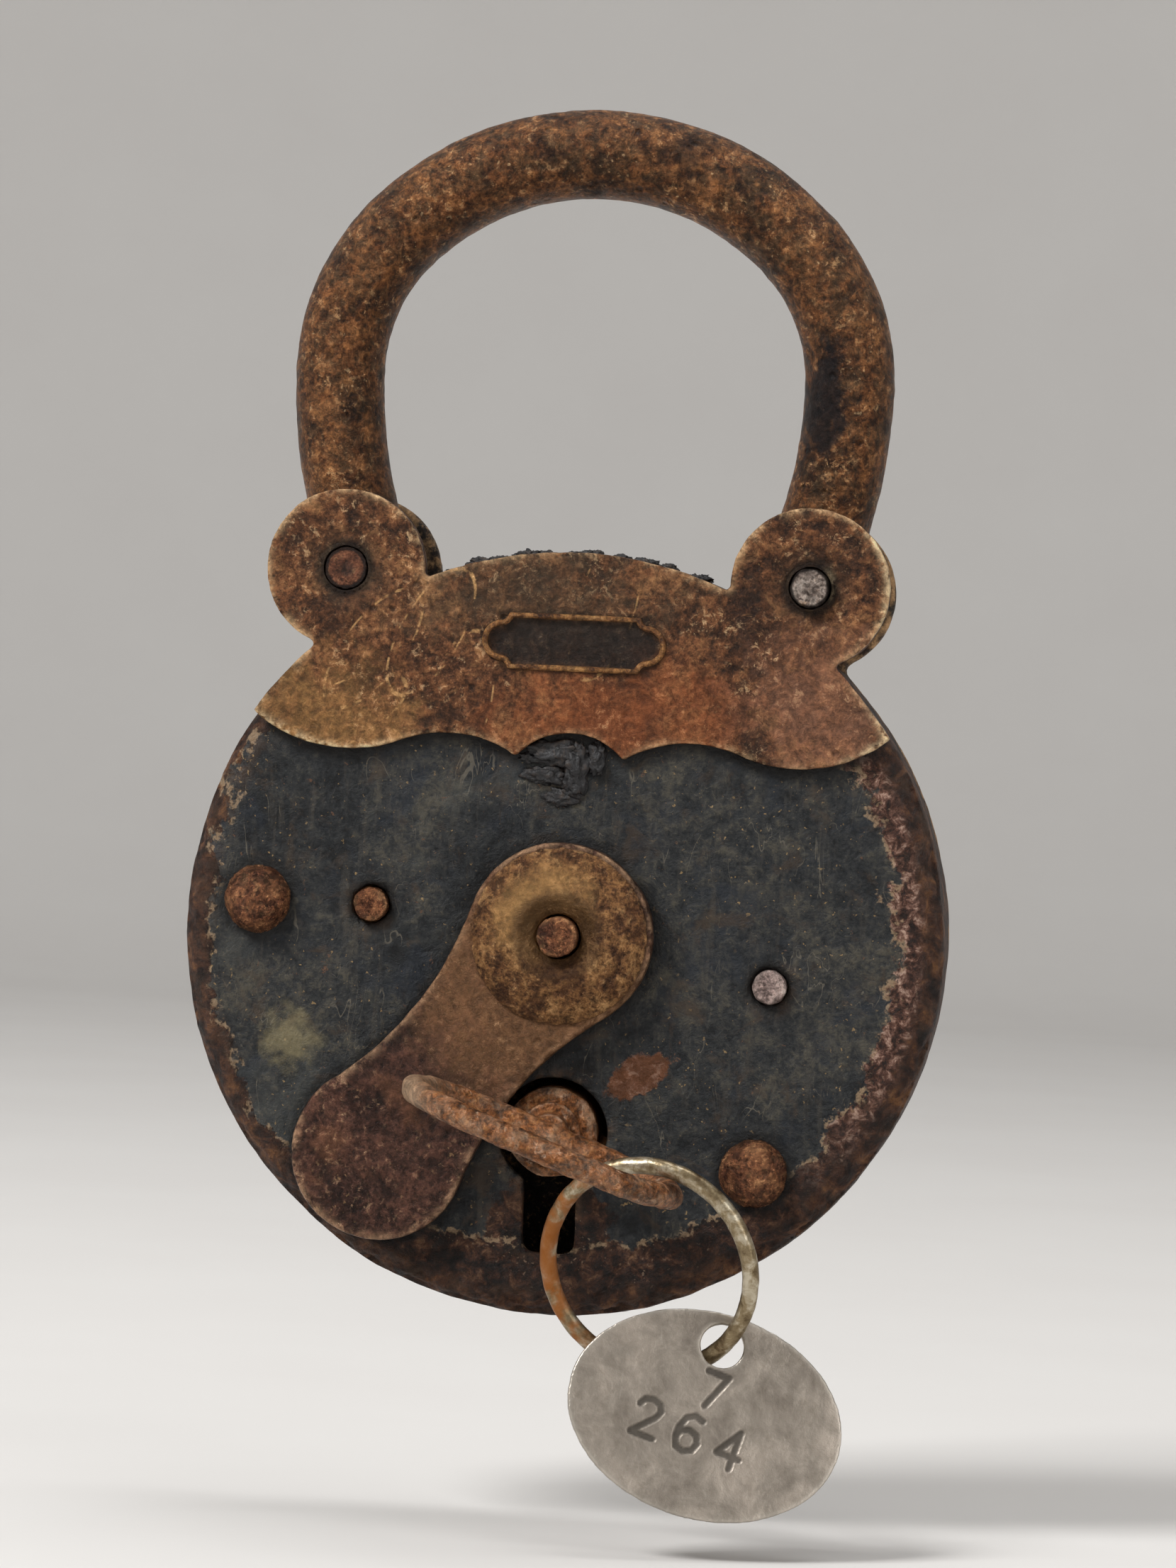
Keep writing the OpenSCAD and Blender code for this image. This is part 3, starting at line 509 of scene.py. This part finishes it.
def paint_face():
    """Dusty black paint, worn through to a brown crust along the rim."""
    f = Finish("worn_black_paint", "black_paint", metallic=0.0, specular=0.25)
    reach = f.away(0, 0)
    broad = f.noise(8, 5, 0.62, 0.6, 3)
    fine = f.noise(1.5, 6, 0.72, 0.4, 5)
    grain = f.noise(0.45, 4, 0.75, 0, 7)
    tone = f.plus(f.math("MULTIPLY", broad, 0.36), fine, 0.38)
    tone = f.plus(tone, grain, 0.26)
    paint = f.ramp(tone, (0.41, "#08090b"), (0.46, "#14171a"), (0.52, "#272828"), (0.60, "#464239"))
    blue = f.blots(0.52, 0.68, 6, 4, 0.6, 0.6, 8)
    paint = f.tint(paint, blue, 0.45, "#1a212b")
    streak = f.blots(0.53, 0.7, 1.2, 4, 0.65, 0.2, 9, (1, 1, 0.10))
    paint = f.tint(paint, streak, 0.32, "#4a443b")
    brown = f.both(f.blots(0.54, 0.68, 4.5, 6, 0.7, 0.6, 13), 0.6)
    paint = f.mix(brown, paint, "#3f3226")
    grey = f.both(f.blots(0.52, 0.66, 10, 4, 0.6, 0.4, 14), f.step(f.x, 20, -16))
    paint = f.tint(paint, grey, 0.28, "#4a4c49")
    specks = f.blots(0.65, 0.72, 0.55, 2, 0.6, 0, 15)
    specks = f.both(specks, f.blots(0.36, 0.58, 7, 3, 0.5, 0, 17))
    paint = f.tint(paint, specks, 0.65, "#a08358")
    chips = f.blots(0.66, 0.70, 1.2, 4, 0.7, 0.5, 18)
    paint = f.tint(paint, chips, 0.7, "#5e4230")
    thin = f.apart(f.noise(4, 3, 0.5, 1.0, 16, (1, 1, 0.35)), 0.5)
    thin = f.both(f.step(thin, 0.006, 0.002), f.blots(0.5, 0.62, 6, 3, 0.5, 0, 12))
    paint = f.tint(paint, thin, 0.5, "#6e675a")
    dust = f.step(f.plus(f.away(-28, -12), f.noise(1.8, 5, 0.7, 0, 19), 7), 7.6, 4.2)
    paint = f.tint(paint, dust, f.blend(grain, 0.3, 0.8), "#857a5a")
    crust = f.ramp(f.noise(1.3, 6, 0.74, 0.4, 21), (0.40, "#20130e"), (0.48, "#472b20"),
                   (0.55, "#785648"), (0.63, "#b89a88"))
    deep = f.ramp(f.noise(1.5, 6, 0.74, 0.4, 22), (0.38, "#0e0907"), (0.48, "#241610"),
                  (0.57, "#42281b"), (0.70, "#75563e"))
    crust = f.mix(f.either(f.step(f.y, -12, -27), f.step(f.x, 10, -20)), crust, deep)
    glint = f.both(f.blots(0.64, 0.70, 0.5, 2, 0.5, 0, 24), f.blots(0.42, 0.6, 4, 3, 0.5, 0, 26))
    crust = f.tint(crust, glint, 0.45, "#a08670")
    rim = f.ramp(f.noise(2.6, 6, 0.72, 0.5, 25), (0.38, "#170f0c"), (0.47, "#301d14"),
                 (0.55, "#4d3020"), (0.66, "#77502f"))
    wander = f.plus(f.math("MULTIPLY", f.noise(5, 5, 0.65, 0.5, 27), 7.5),
                    f.noise(1.0, 5, 0.7, 0, 29), 3.0)
    right = f.both(f.step(f.x, 6, 30), 1.9)
    low = f.both(f.step(f.y, -20, -36), 4.6)
    top = f.both(f.step(f.y, 2, 14), f.both(f.step(f.x, 0, -30), -1.5))
    edge_at = f.math("ADD", f.math("ADD", f.math("ADD", reach, wander), f.math("ADD", right, low)),
                     top)
    bare = f.step(edge_at, 41.9, 42.4)
    by_key = f.step(f.plus(f.oval(8.6, -14.3, 32, 1.9), f.noise(1.4, 5, 0.7, 0, 33), 2.4), 3.3, 2.9)
    by_hole = f.step(f.plus(f.away(0, -31.5), f.noise(2.2, 5, 0.7, 0, 35), 8), 11.2, 10.2)
    bare = f.either(f.either(bare, by_hole), by_key)
    crust = f.mix(by_key, crust, f.mix(0.65, crust, "#6b4022"))
    outer = f.step(reach, 36.8, 38.4)
    metal = f.mix(outer, crust, rim)
    lip = f.both(f.both(f.step(edge_at, 41.5, 41.95), f.step(edge_at, 42.7, 42.3)),
                 f.blots(0.46, 0.58, 1.0, 3, 0.6, 0, 39))
    colour = f.mix(bare, paint, metal)
    colour = f.tint(colour, lip, 0.6, "#a48a6c")
    wear = f.both(f.attribute("edge"), f.blots(0.46, 0.66, 2.4, 4, 0.6, 0, 43))
    colour = f.tint(colour, wear, 0.3, "#8e6a4c")
    # Near-black on the face beside the trim, cover, domes and posts: dirt, and painted shade where
    # they stand on it
    dirt_and_shade = f.step(f.plus(f.attribute("dirt_and_shade"), f.noise(1.6, 4, 0.65, 0, 45), 0.5), 0.55, 1.15)
    colour = f.tint(colour, dirt_and_shade, 0.85, "#0c0a09")
    rough = f.blend(bare, f.blend(fine, 0.3, 0.55), f.blend(fine, 0.36, 0.66))
    skin = f.math("SUBTRACT", 1.0, bare)
    return f.finish(colour, rough,
                    [(broad, 0.3), (skin, 0.14), (fine, 0.3), (f.both(bare, fine), 0.5),
                     (grain, 0.10)])


def ringed(x, y, inner):
    """A patch: black dirt in the gap round a rivet's end, and painted shade of a dish just off its
    middle.
    """
    def patch(f, colour, rough):
        gap = f.step(f.plus(f.away(x, y), f.noise(0.8, 3, 0.6, 0, 110), 0.3), inner, inner + 0.25)
        # A darker spot just off the middle: painted shade of a dished rivet end
        dish_crescent_shade = f.step(f.away(x + 0.25, y - 0.2), 1.0, 0.5)
        colour = f.tint(colour, dish_crescent_shade, 0.45, "#3c2e28")
        return f.tint(colour, gap, 0.92, "#120c09"), rough
    return patch


def plain_metal(name, slot, colours, seed, size, shine, metallic, bump=0.05):
    f = Finish(name, slot, metallic=metallic, specular=0.5)
    tone = f.noise(size, 6, 0.65, 0.4, seed)
    fine = f.noise(0.35, 4, 0.7, 0, seed + 3)
    colour = f.ramp(tone, (0.34, colours[0]), (0.5, colours[1]), (0.64, colours[2]))
    return f, colour, f.blend(tone, shine + 0.15, shine - 0.08), [(tone, bump), (fine, bump * 0.6)]


# ---------------------------------------------------------------- the lock

f_face = paint_face()
f_back = rust("back_paint", "back_paint", ("#17181a", "#26231f", "#3d2a20", "#5b3c2a"), 131, 9.0,
              0.5,
              speck_amount=0.2, metallic=0.1)
f_trim = rust("trim_rust", "rusty_trim", ("#2d1d15", "#4e311f", "#71482d", "#946a45"), 141, 6.0,
              0.42,
              edge_colour="#dcb78a", edge_amount=0.9, metallic=0.5, contrast=0.45, patch=on_trim)
f_label = rust("label_rust", "rusty_trim", ("#4a2e1c", "#6f482a", "#8f6238", "#b08552"), 147, 3.0,
               0.4,
               speck_amount=0.4, metallic=0.35)
# The shackle's pale specks stand partly for painted glints
f_shackle = rust("shackle_rust", "rusty_shackle", ("#21150e", "#402818", "#623c22", "#875a34"), 151,
                 5.0, 0.34,
                 speck_colour="#c8a67c", speck_amount=0.5, pit=0.3, metallic=0.6, contrast=0.6,
                 patch=on_shackle)
# The cover's pale edges: wear, and partly a painted highlight along its rim
f_cover = rust("cover_rust", "rusty_cover", ("#1b100d", "#331f18", "#4b3026", "#664436"), 161, 6.5,
               0.26,
               edge_colour="#c09a78", edge_amount=0.8, speck_amount=0.25, metallic=0.5,
               contrast=0.35, patch=on_cover)
f_boss = rust("boss_rust", "golden_rust", ("#382317", "#5f3f28", "#88613c", "#b48c5e"), 171, 4.5,
              0.3,
              edge_amount=0.4, speck_amount=0.3, metallic=0.65, contrast=0.22, patch=on_boss)
f_rivet = rust("rivet_rust", "rivet_rust", ("#36211a", "#5c3828", "#855539", "#b3845c"), 181, 2.4,
               0.2,
               edge_amount=0.4, speck_amount=0.15, metallic=0.7, contrast=0.15, polish_and_highlight=0.15)
f_pin = rust("pin_rust", "rivet_rust", ("#3f2619", "#643c2a", "#7d4f38", "#94664a"), 187, 1.6, 0.4,
             edge_amount=0.0, speck_amount=0.2, metallic=0.35, patch=ringed(-EAR_X, EAR_Y, 1.85))
f_bright = rust("rivet_bright", "rivet_bright", ("#6f5c55", "#94807a", "#b39c94", "#cdb9b0"), 191,
                1.5, 0.34,
                edge_colour="#e2d2c8", edge_amount=0.5, speck_amount=0.2, pit=0.05, metallic=0.6)
f_toe = rust("toe_rivet", "rivet_bright", ("#5d4f48", "#85776e", "#a7998e", "#c6bab0"), 195, 1.5,
             0.34,
             edge_amount=0.0, speck_amount=0.2, pit=0.05, metallic=0.6,
             patch=ringed(EAR_X, EAR_Y, 1.8))
f_key = rust("key_rust", "key_rust", ("#432615", "#70431f", "#945b33", "#b07d4c"), 201, 3.0, 0.32,
             edge_colour="#d9c0a8", edge_amount=0.55, metallic=0.4, patch=on_key)

f, colour, rough, bumps = plain_metal("ring_wire", "ring_wire", ("#54432d", "#8b7b5f", "#beb49f"),
                                      211, 1.8, 0.3, 0.8)
stain = f.both(f.blots(0.42, 0.58, 3.5, 4, 0.6, 0.4, 214), f.step(f.x, 9, 2.5))
f_ring = f.finish(f.tint(colour, stain, 0.85, "#9a5c26"), f.blend(stain, rough, 0.55), bumps)

f, colour, rough, bumps = plain_metal("tag_metal", "tag_metal", ("#7d746a", "#968d82", "#aba094"),
                                      221, 5.0, 0.36, 0.7, 0.06)
mottle = f.blots(0.5, 0.68, 1.4, 5, 0.65, 0.3, 225)
colour = f.tint(colour, mottle, 0.22, "#6a6153")
scuff = f.blots(0.68, 0.74, 0.8, 2, 0.5, 0.8, 227, (1, 1, 0.2))
colour = f.tint(colour, scuff, 0.2, "#bdb6aa")
# Pale raised edges: worn metal, and partly a painted highlight on the lit rim
colour = f.tint(colour, f.attribute("edge"), 0.7, "#e0dacf")
colour = f.tint(colour, f.attribute("stamp"), 0.72, "#37332e")
f_tag = f.finish(colour, f.blend(f.attribute("stamp"), rough, 0.6), bumps)

f, colour, rough, bumps = plain_metal("inner_brass", "inner_brass",
                                      ("#5c4520", "#876a36", "#a78b54"), 231, 4.0, 0.34, 0.9)
f_brass = f.finish(colour, rough, bumps)
f, colour, rough, bumps = plain_metal("inner_steel", "inner_steel",
                                      ("#3a3028", "#5f544a", "#7c7066"), 241, 4.0, 0.42, 0.8)
f_steel = f.finish(colour, rough, bumps)
f, colour, rough, bumps = plain_metal("spring_steel", "spring_steel",
                                      ("#26262b", "#44444c", "#5c5c66"), 251, 3.0, 0.3, 0.9)
f_spring = f.finish(colour, rough, bumps)

f = Finish("tar", "black_paint", specular=0.5)
fine = f.noise(0.9, 5, 0.7, 0.4, 261)
f_tar = f.finish(f.ramp(fine, (0.38, "#08080a"), (0.52, "#151315"), (0.68, "#3a2f27")),
                 f.blend(fine, 0.3, 0.6), [(fine, 0.3)])


BESIDE = (-0.0175, -0.0146)    # depths in metres at which a raised piece stands on the face
FACE_FROM = -0.0135            # the face is in front of this depth
FACE_TILT = -0.3               # a normal whose y is below this looks out of the face
DIRT_AND_SHADE_REACH = 2.2              # mm from a raised piece at which its dirt and painted shade end


def face_shape(grid, points, normals):
    """Rust eats deeper into the rim than into the middle; dirt and painted shade gather beside
    raised pieces.
    """
    near = [vertex.co for piece in raised for vertex in piece.data.vertices
            if BESIDE[0] < vertex.co.y < BESIDE[1]]
    tree = kdtree.KDTree(len(near))
    for number, place in enumerate(near):
        tree.insert(place, number)
    tree.balance()
    # How near each point of the face is to a raised piece, for its dirt and painted shade
    dirt_and_shade = np.zeros(len(points))
    front = normals[:, 1] < FACE_TILT
    for number in np.nonzero((points[:, 1] < FACE_FROM) & front)[0]:
        dirt_and_shade[number] = max(0.0, 1 - tree.find(points[number])[2] / (DIRT_AND_SHADE_REACH * MM))
    set_attribute(grid, "dirt_and_shade", dirt_and_shade)
    reach = np.hypot(points[:, 0], points[:, 2]) / MM
    eaten = np.clip((reach - 35.5) / 3, 0, 1) * np.clip(0.4 + lumps(points, 2.2, 4, 9.0), 0, 1)
    low = np.clip((-points[:, 2] / MM - 22) / 10, 0, 1)
    low = low * np.clip(0.3 + lumps(points, 1.6, 4, 4.0), 0, 1)
    return front * (0.30 * eaten + 0.35 * low)


def ear_shape(grid, points, normals):
    """Shallow dished rings pressed round the two ear rivets, and a hollowed cartouche field."""
    x, y = points[:, 0] / MM, points[:, 2] / MM
    inside = (np.abs(x) < 7.1) & (np.abs(y - LABEL_Y) < 2.25)
    for end in (-LABEL_END, LABEL_END):
        inside |= np.hypot(x - end, y - LABEL_Y) < 1.35
    field = spread((inside & (points[:, 1] > -16.38 * MM)).astype(float), neighbours(grid), 1)
    set_attribute(grid, "field", field)
    outside = np.maximum(np.maximum(np.abs(x) - LABEL_HALF_X,
                                    np.abs(y - LABEL_Y) - LABEL_HALF_Y), 0)
    bulge = np.minimum(np.hypot(x - LABEL_END, y - LABEL_Y),
                       np.hypot(x + LABEL_END, y - LABEL_Y)) - 2.1
    gap = np.minimum(outside, np.maximum(bulge, 0))
    # A thin line just outside the border, darkened on the trim as dirt and painted shade
    set_attribute(grid, "outline",
                  np.clip(1 - gap / 0.45, 0, 1) * (1 - field) * (normals[:, 1] < -0.5))
    depth = 0.16 * field + np.clip(-points[:, 1] / MM - 16.18, 0, 1)
    for middle in (-24.302, 24.302):
        away = np.hypot(x - middle, y - 37.278)
        depth += 0.4 * np.clip((4.6 - away) / 2.2, 0, 1)
    return depth * (normals[:, 1] < -0.5)


def label_border():
    """The cartouche's raised line: notched corners and round ends, as a closed half-sunk rod."""
    quarter = [(0.0, 2.675), (3.4, 2.675)]
    quarter += [(LABEL_HALF_X + 1.175 * math.cos(math.radians(a)),
                 LABEL_HALF_Y + 1.175 * math.sin(math.radians(a)))
                for a in np.linspace(193.5, 256.5, 8)]
    quarter += [(LABEL_END + 1.825 * math.cos(math.radians(a)), 1.825 * math.sin(math.radians(a)))
                for a in np.linspace(86, 0, 10)]
    path = quarter + [(x, -y) for x, y in quarter[-2::-1]]
    path += [(-x, y) for x, y in path[-2:0:-1]]
    curve = bpy.data.curves.new("label_border", "CURVE")
    curve.dimensions = "3D"
    curve.bevel_depth, curve.bevel_resolution = 0.3 * MM, 4
    spline = curve.splines.new("POLY")
    spline.points.add(len(path) - 1)
    spline.use_cyclic_u = True
    for point, (x, y) in zip(spline.points, path):
        point.co = (*bench(x, y + LABEL_Y, 16.17), 1)
    rod = link("label_border", curve)
    mesh = applied(rod)
    bpy.data.objects.remove(rod)
    mesh.shade_smooth()
    mesh.materials.clear()
    mesh.materials.append(f_label.mat)
    piece = link("label_border", mesh)
    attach(piece, "case")


STROKES = {
    "2": [(0.02, 1.25), (0.15, 1.5), (0.5, 1.6), (0.85, 1.48), (0.98, 1.2), (0.85, 0.9),
          (0, 0), (1, 0)],
    "4": [(0.72, 0), (0.72, 1.6), (0, 0.5), (1, 0.5)],
    "6": [(0.9, 1.48), (0.55, 1.6), (0.2, 1.4), (0.02, 0.9), (0.02, 0.5), (0.15, 0.12),
          (0.5, 0), (0.85, 0.15), (0.98, 0.5), (0.85, 0.82), (0.5, 0.95), (0.15, 0.8), (0.02, 0.5)],
    "7": [(0, 1.6), (1, 1.6), (0.35, 0)],
}
# Each row of plain digits: text, middle on the tag from its hole (mm), digit width, pitch
STAMPS = [("7", (0.7, -4.6), 2.2, 0.0), ("264", (-0.2, -9.6), 2.4, 4.5)]
# How the tag hangs: tilted about a line at TAG_PLACE, leaning, and the text a little more (degrees)
TAG_TILT, TAG_PLACE, TAG_LEAN, TEXT_LEAN = 20.0, 46.0, 12.0, 6.0
STROKE_HALF, STROKE_SOFT, STAMP_DEPTH = 0.42, 0.16, 0.2    # mm
TAG_HOLE = next(joint["pos_m"] for joint in frame["joints"] if joint["name"] == "tag_swing")


def tag_shape(grid, points, normals):
    """Stamps the digits into the front and marks the stamped metal."""
    local = points / MM - np.array(TAG_HOLE) / MM
    local = np.stack([local[:, 0], local[:, 2], -local[:, 1]], 1)
    place = math.radians(TAG_PLACE)
    axis = Vector((math.sin(place), -math.cos(place), 0))
    lean = Matrix.Rotation(math.radians(TAG_LEAN + TEXT_LEAN), 3, "Z")
    turn = lean @ Matrix.Rotation(math.radians(TAG_TILT), 3, axis)
    local = local @ np.array(turn).T
    way = np.stack([normals[:, 0], normals[:, 2], -normals[:, 1]], 1) @ np.array(turn).T
    nearest = np.full(len(points), 9.0)
    for text, middle, width, pitch in STAMPS:
        for number, digit in enumerate(text):
            left = middle[0] + (number - (len(text) - 1) / 2) * pitch - width / 2
            run = [(left + u * width, middle[1] + (v - 0.8) * width) for u, v in STROKES[digit]]
            for (ax, ay), (bx, by) in zip(run, run[1:]):
                length = (bx - ax) ** 2 + (by - ay) ** 2
                across, up = local[:, 0] - ax, local[:, 1] - ay
                along = np.clip((across * (bx - ax) + up * (by - ay)) / length, 0, 1)
                gap = np.hypot(across - along * (bx - ax), up - along * (by - ay))
                nearest = np.minimum(nearest, gap)
    stamp = np.clip((STROKE_HALF - nearest) / STROKE_SOFT, 0, 1) * (way[:, 2] > 0.6)
    set_attribute(grid, "stamp", stamp)
    return STAMP_DEPTH * stamp


worn("back_plate", 0.5, f_back, [(0.12, 8, 4, 3.0)])
trim = worn("top_trim", 0.26, f_trim, [(0.10, 7, 4, 5.0), (0.05, 1.5, 3, 6.0)], shape=ear_shape)
worn("shackle", 0.32, f_shackle, [(0.08, 6, 4, 7.0), (0.05, 1.4, 3, 8.0)], rounding=1)
cover = worn("keyhole_cover", 0.24, f_cover, [(0.10, 6, 4, 11.0), (0.05, 1.4, 3, 12.0)], rounding=4)
worn("cover_boss", 0.2, f_boss, [(0.10, 4, 4, 13.0)], rounding=16)
domes = [worn("case_rivet_left", 0.22, f_rivet, [(0.18, 2.4, 4, 15.0)]),
         worn("case_rivet_right", 0.22, f_rivet, [(0.18, 2.4, 4, 17.0)])]
worn("shackle_pin", 0.2, f_pin, [(0.12, 1.4, 3, 19.0)], rounding=3)
worn("toe_rivet", 0.2, f_toe, [(0.14, 1.4, 3, 21.0)], rounding=5)
posts = [worn("lever_post", 0.18, f_rivet, [(0.12, 1.2, 3, 23.0)], rounding=4),
         worn("catch_post", 0.18, f_bright, [(0.12, 1.2, 3, 25.0)], rounding=4)]
worn("cover_rivet", 0.2, f_rivet, [(0.14, 1.5, 3, 27.0)], rounding=4)
worn("key", 0.22, f_key, [(0.14, 3, 4, 29.0), (0.06, 0.9, 3, 30.0)])
worn("key_ring", 0.16, f_ring, [(0.05, 1.5, 3, 31.0)])
worn("key_tag", 0.17, f_tag, [(0.05, 2.5, 3, 33.0)], rounding=3, shape=tag_shape)
label_border()
raised = [trim, cover] + domes + posts
worn("front_shell", 0.45, f_face, [(0.16, 9, 4, 1.0), (0.05, 1.6, 3, 2.0)], shape=face_shape)
for node in ("drill_pin", "lever_spacer", "lever_1", "lever_2", "lever_3"):
    keep(node, f_brass)
for node in ("catch", "catch_spring_stud", "lever_spring_stud"):
    keep(node, f_steel)
for node in ("catch_spring", "lever_spring_1", "lever_spring_2", "lever_spring_3"):
    keep(node, f_spring)

lump("tar_blob",
     [(-1.2, 19.0, 15.0, 3.2, 1.4, 0.8), (0.8, 17.2, 15.0, 1.5, 3.0, 0.9),
      (-2.6, 16.6, 14.9, 2.4, 1.2, 0.6), (2.9, 18.6, 15.0, 1.0, 1.9, 0.7),
      (-0.6, 14.4, 14.9, 1.9, 1.0, 0.5), (-4.0, 18.4, 14.8, 1.5, 0.7, 0.5)],
     f_tar, "case", 2.0)
CRUMBS, CRUMB_REACH = 26, 39.75    # how many, and mm from the case's middle
CRUMB_START, CRUMB_STEP = 110, 1.62    # degrees along the crown, from the right-hand side
crumbs = []
for number in range(CRUMBS):
    turn = CRUMB_START - number * CRUMB_STEP + 2.2 * math.sin(number * 5.1)
    size = 0.5 + 0.35 * math.sin(number * 2.3) ** 2
    crumbs.append((CRUMB_REACH * math.cos(math.radians(turn)),
                   CRUMB_REACH * math.sin(math.radians(turn)),
                   12.4 + 1.6 * math.sin(number * 3.7), size * 1.5, size * 0.8, size))
lump("crown_crust", crumbs, f_tar, "case", 5.0)

# ---------------------------------------------------------------- stage, light and camera

# A round floor that curves up into a wall, to stand behind the lock in every view (metres)
FLOOR_R, COVE_R, WALL_H, SECTORS = 1.2, 0.5, 1.3, 64
FLOOR_GAP = 0.004              # the tag hangs 3.2 mm lower with the key turned to -70 degrees
floor_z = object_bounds()[0].z - FLOOR_GAP
work = bmesh.new()
profile = [(FLOOR_R + COVE_R * math.sin(math.radians(a)), COVE_R * (1 - math.cos(math.radians(a))))
           for a in range(0, 91, 6)] + [(FLOOR_R + COVE_R, WALL_H)]
turns = [2 * math.pi * i / SECTORS for i in range(SECTORS)]
rings = [[work.verts.new((out * math.cos(t), out * math.sin(t), floor_z + z)) for t in turns]
         for out, z in profile]
work.faces.new(rings[0])
for inner, outer in zip(rings, rings[1:]):
    for i in range(SECTORS):
        work.faces.new((inner[i], inner[i - 1], outer[i - 1], outer[i]))
mesh = bpy.data.meshes.new("floor")
work.to_mesh(mesh)
work.free()
mesh.shade_smooth()
floor = link("floor", mesh)
f_floor = Finish("pale_floor", "floor", specular=0.2)
f_floor.finish(f_floor.mix(f_floor.noise(60, 3, 0.5, 0, 300), "#cecbc8", "#d3d1ce"), 0.85)
mesh.materials.append(f_floor.mat)


LAMP_AIM = Vector((0, 0, 0.01))


def lamp(name, place, power, width, height):
    """A soft rectangular lamp that looks at the lock; metres and watts."""
    data = bpy.data.lights.new(name, "AREA")
    data.shape = "RECTANGLE"
    data.size, data.size_y = width, height
    data.energy = power
    light = link(name, data)
    light.location = place
    light.rotation_euler = (LAMP_AIM - Vector(place)).to_track_quat("-Z", "Y").to_euler()


lamp("key_light", (-0.75, -0.63, 0.95), 17.0, 0.4, 0.4)
lamp("fill_light", (0.9, -0.7, 0.35), 2.8, 0.45, 0.7)
lamp("top_light", (0.15, 0.1, 1.0), 4.0, 0.6, 0.45)
world = bpy.data.worlds.new("studio")
world.use_nodes = True
sky = world.node_tree.nodes["Background"]
sky.inputs["Color"].default_value = (1, 1, 1, 1)
sky.inputs["Strength"].default_value = 0.38
scene.world = world
scene.view_settings.view_transform = "Standard"

AZIMUTH, ELEVATION, ROLL = math.radians(5.4), math.radians(0.3), math.radians(2.7)
DISTANCE = 0.6                 # from the aim to the camera, in metres
AIM_DEPTH, AIM_RIGHT, AIM_UP = 11, 2.42, 15.8    # mm out of the face, and along the picture
VIEW_HEIGHT = 164.583333       # mm of the plane through the aim that fit in the view
SENSOR = 36                    # mm
back = Vector((math.sin(AZIMUTH) * math.cos(ELEVATION),
               -math.cos(AZIMUTH) * math.cos(ELEVATION), math.sin(ELEVATION)))
level = Vector((math.cos(AZIMUTH), math.sin(AZIMUTH), 0))
rise = back.cross(level)
right = level * math.cos(ROLL) + rise * math.sin(ROLL)
up = rise * math.cos(ROLL) - level * math.sin(ROLL)
aim = bench(0, 0, AIM_DEPTH) + right * AIM_RIGHT * MM + up * AIM_UP * MM
data = bpy.data.cameras.new("camera")
data.sensor_width = SENSOR
data.lens = SENSOR * DISTANCE / (VIEW_HEIGHT * MM)
data.clip_start, data.clip_end = 0.01, 20
data.dof.use_dof = False
camera = link("camera", data)
camera.matrix_world = Matrix((right, up, back)).transposed().to_4x4()
camera.location = aim + back * DISTANCE
scene.camera = camera
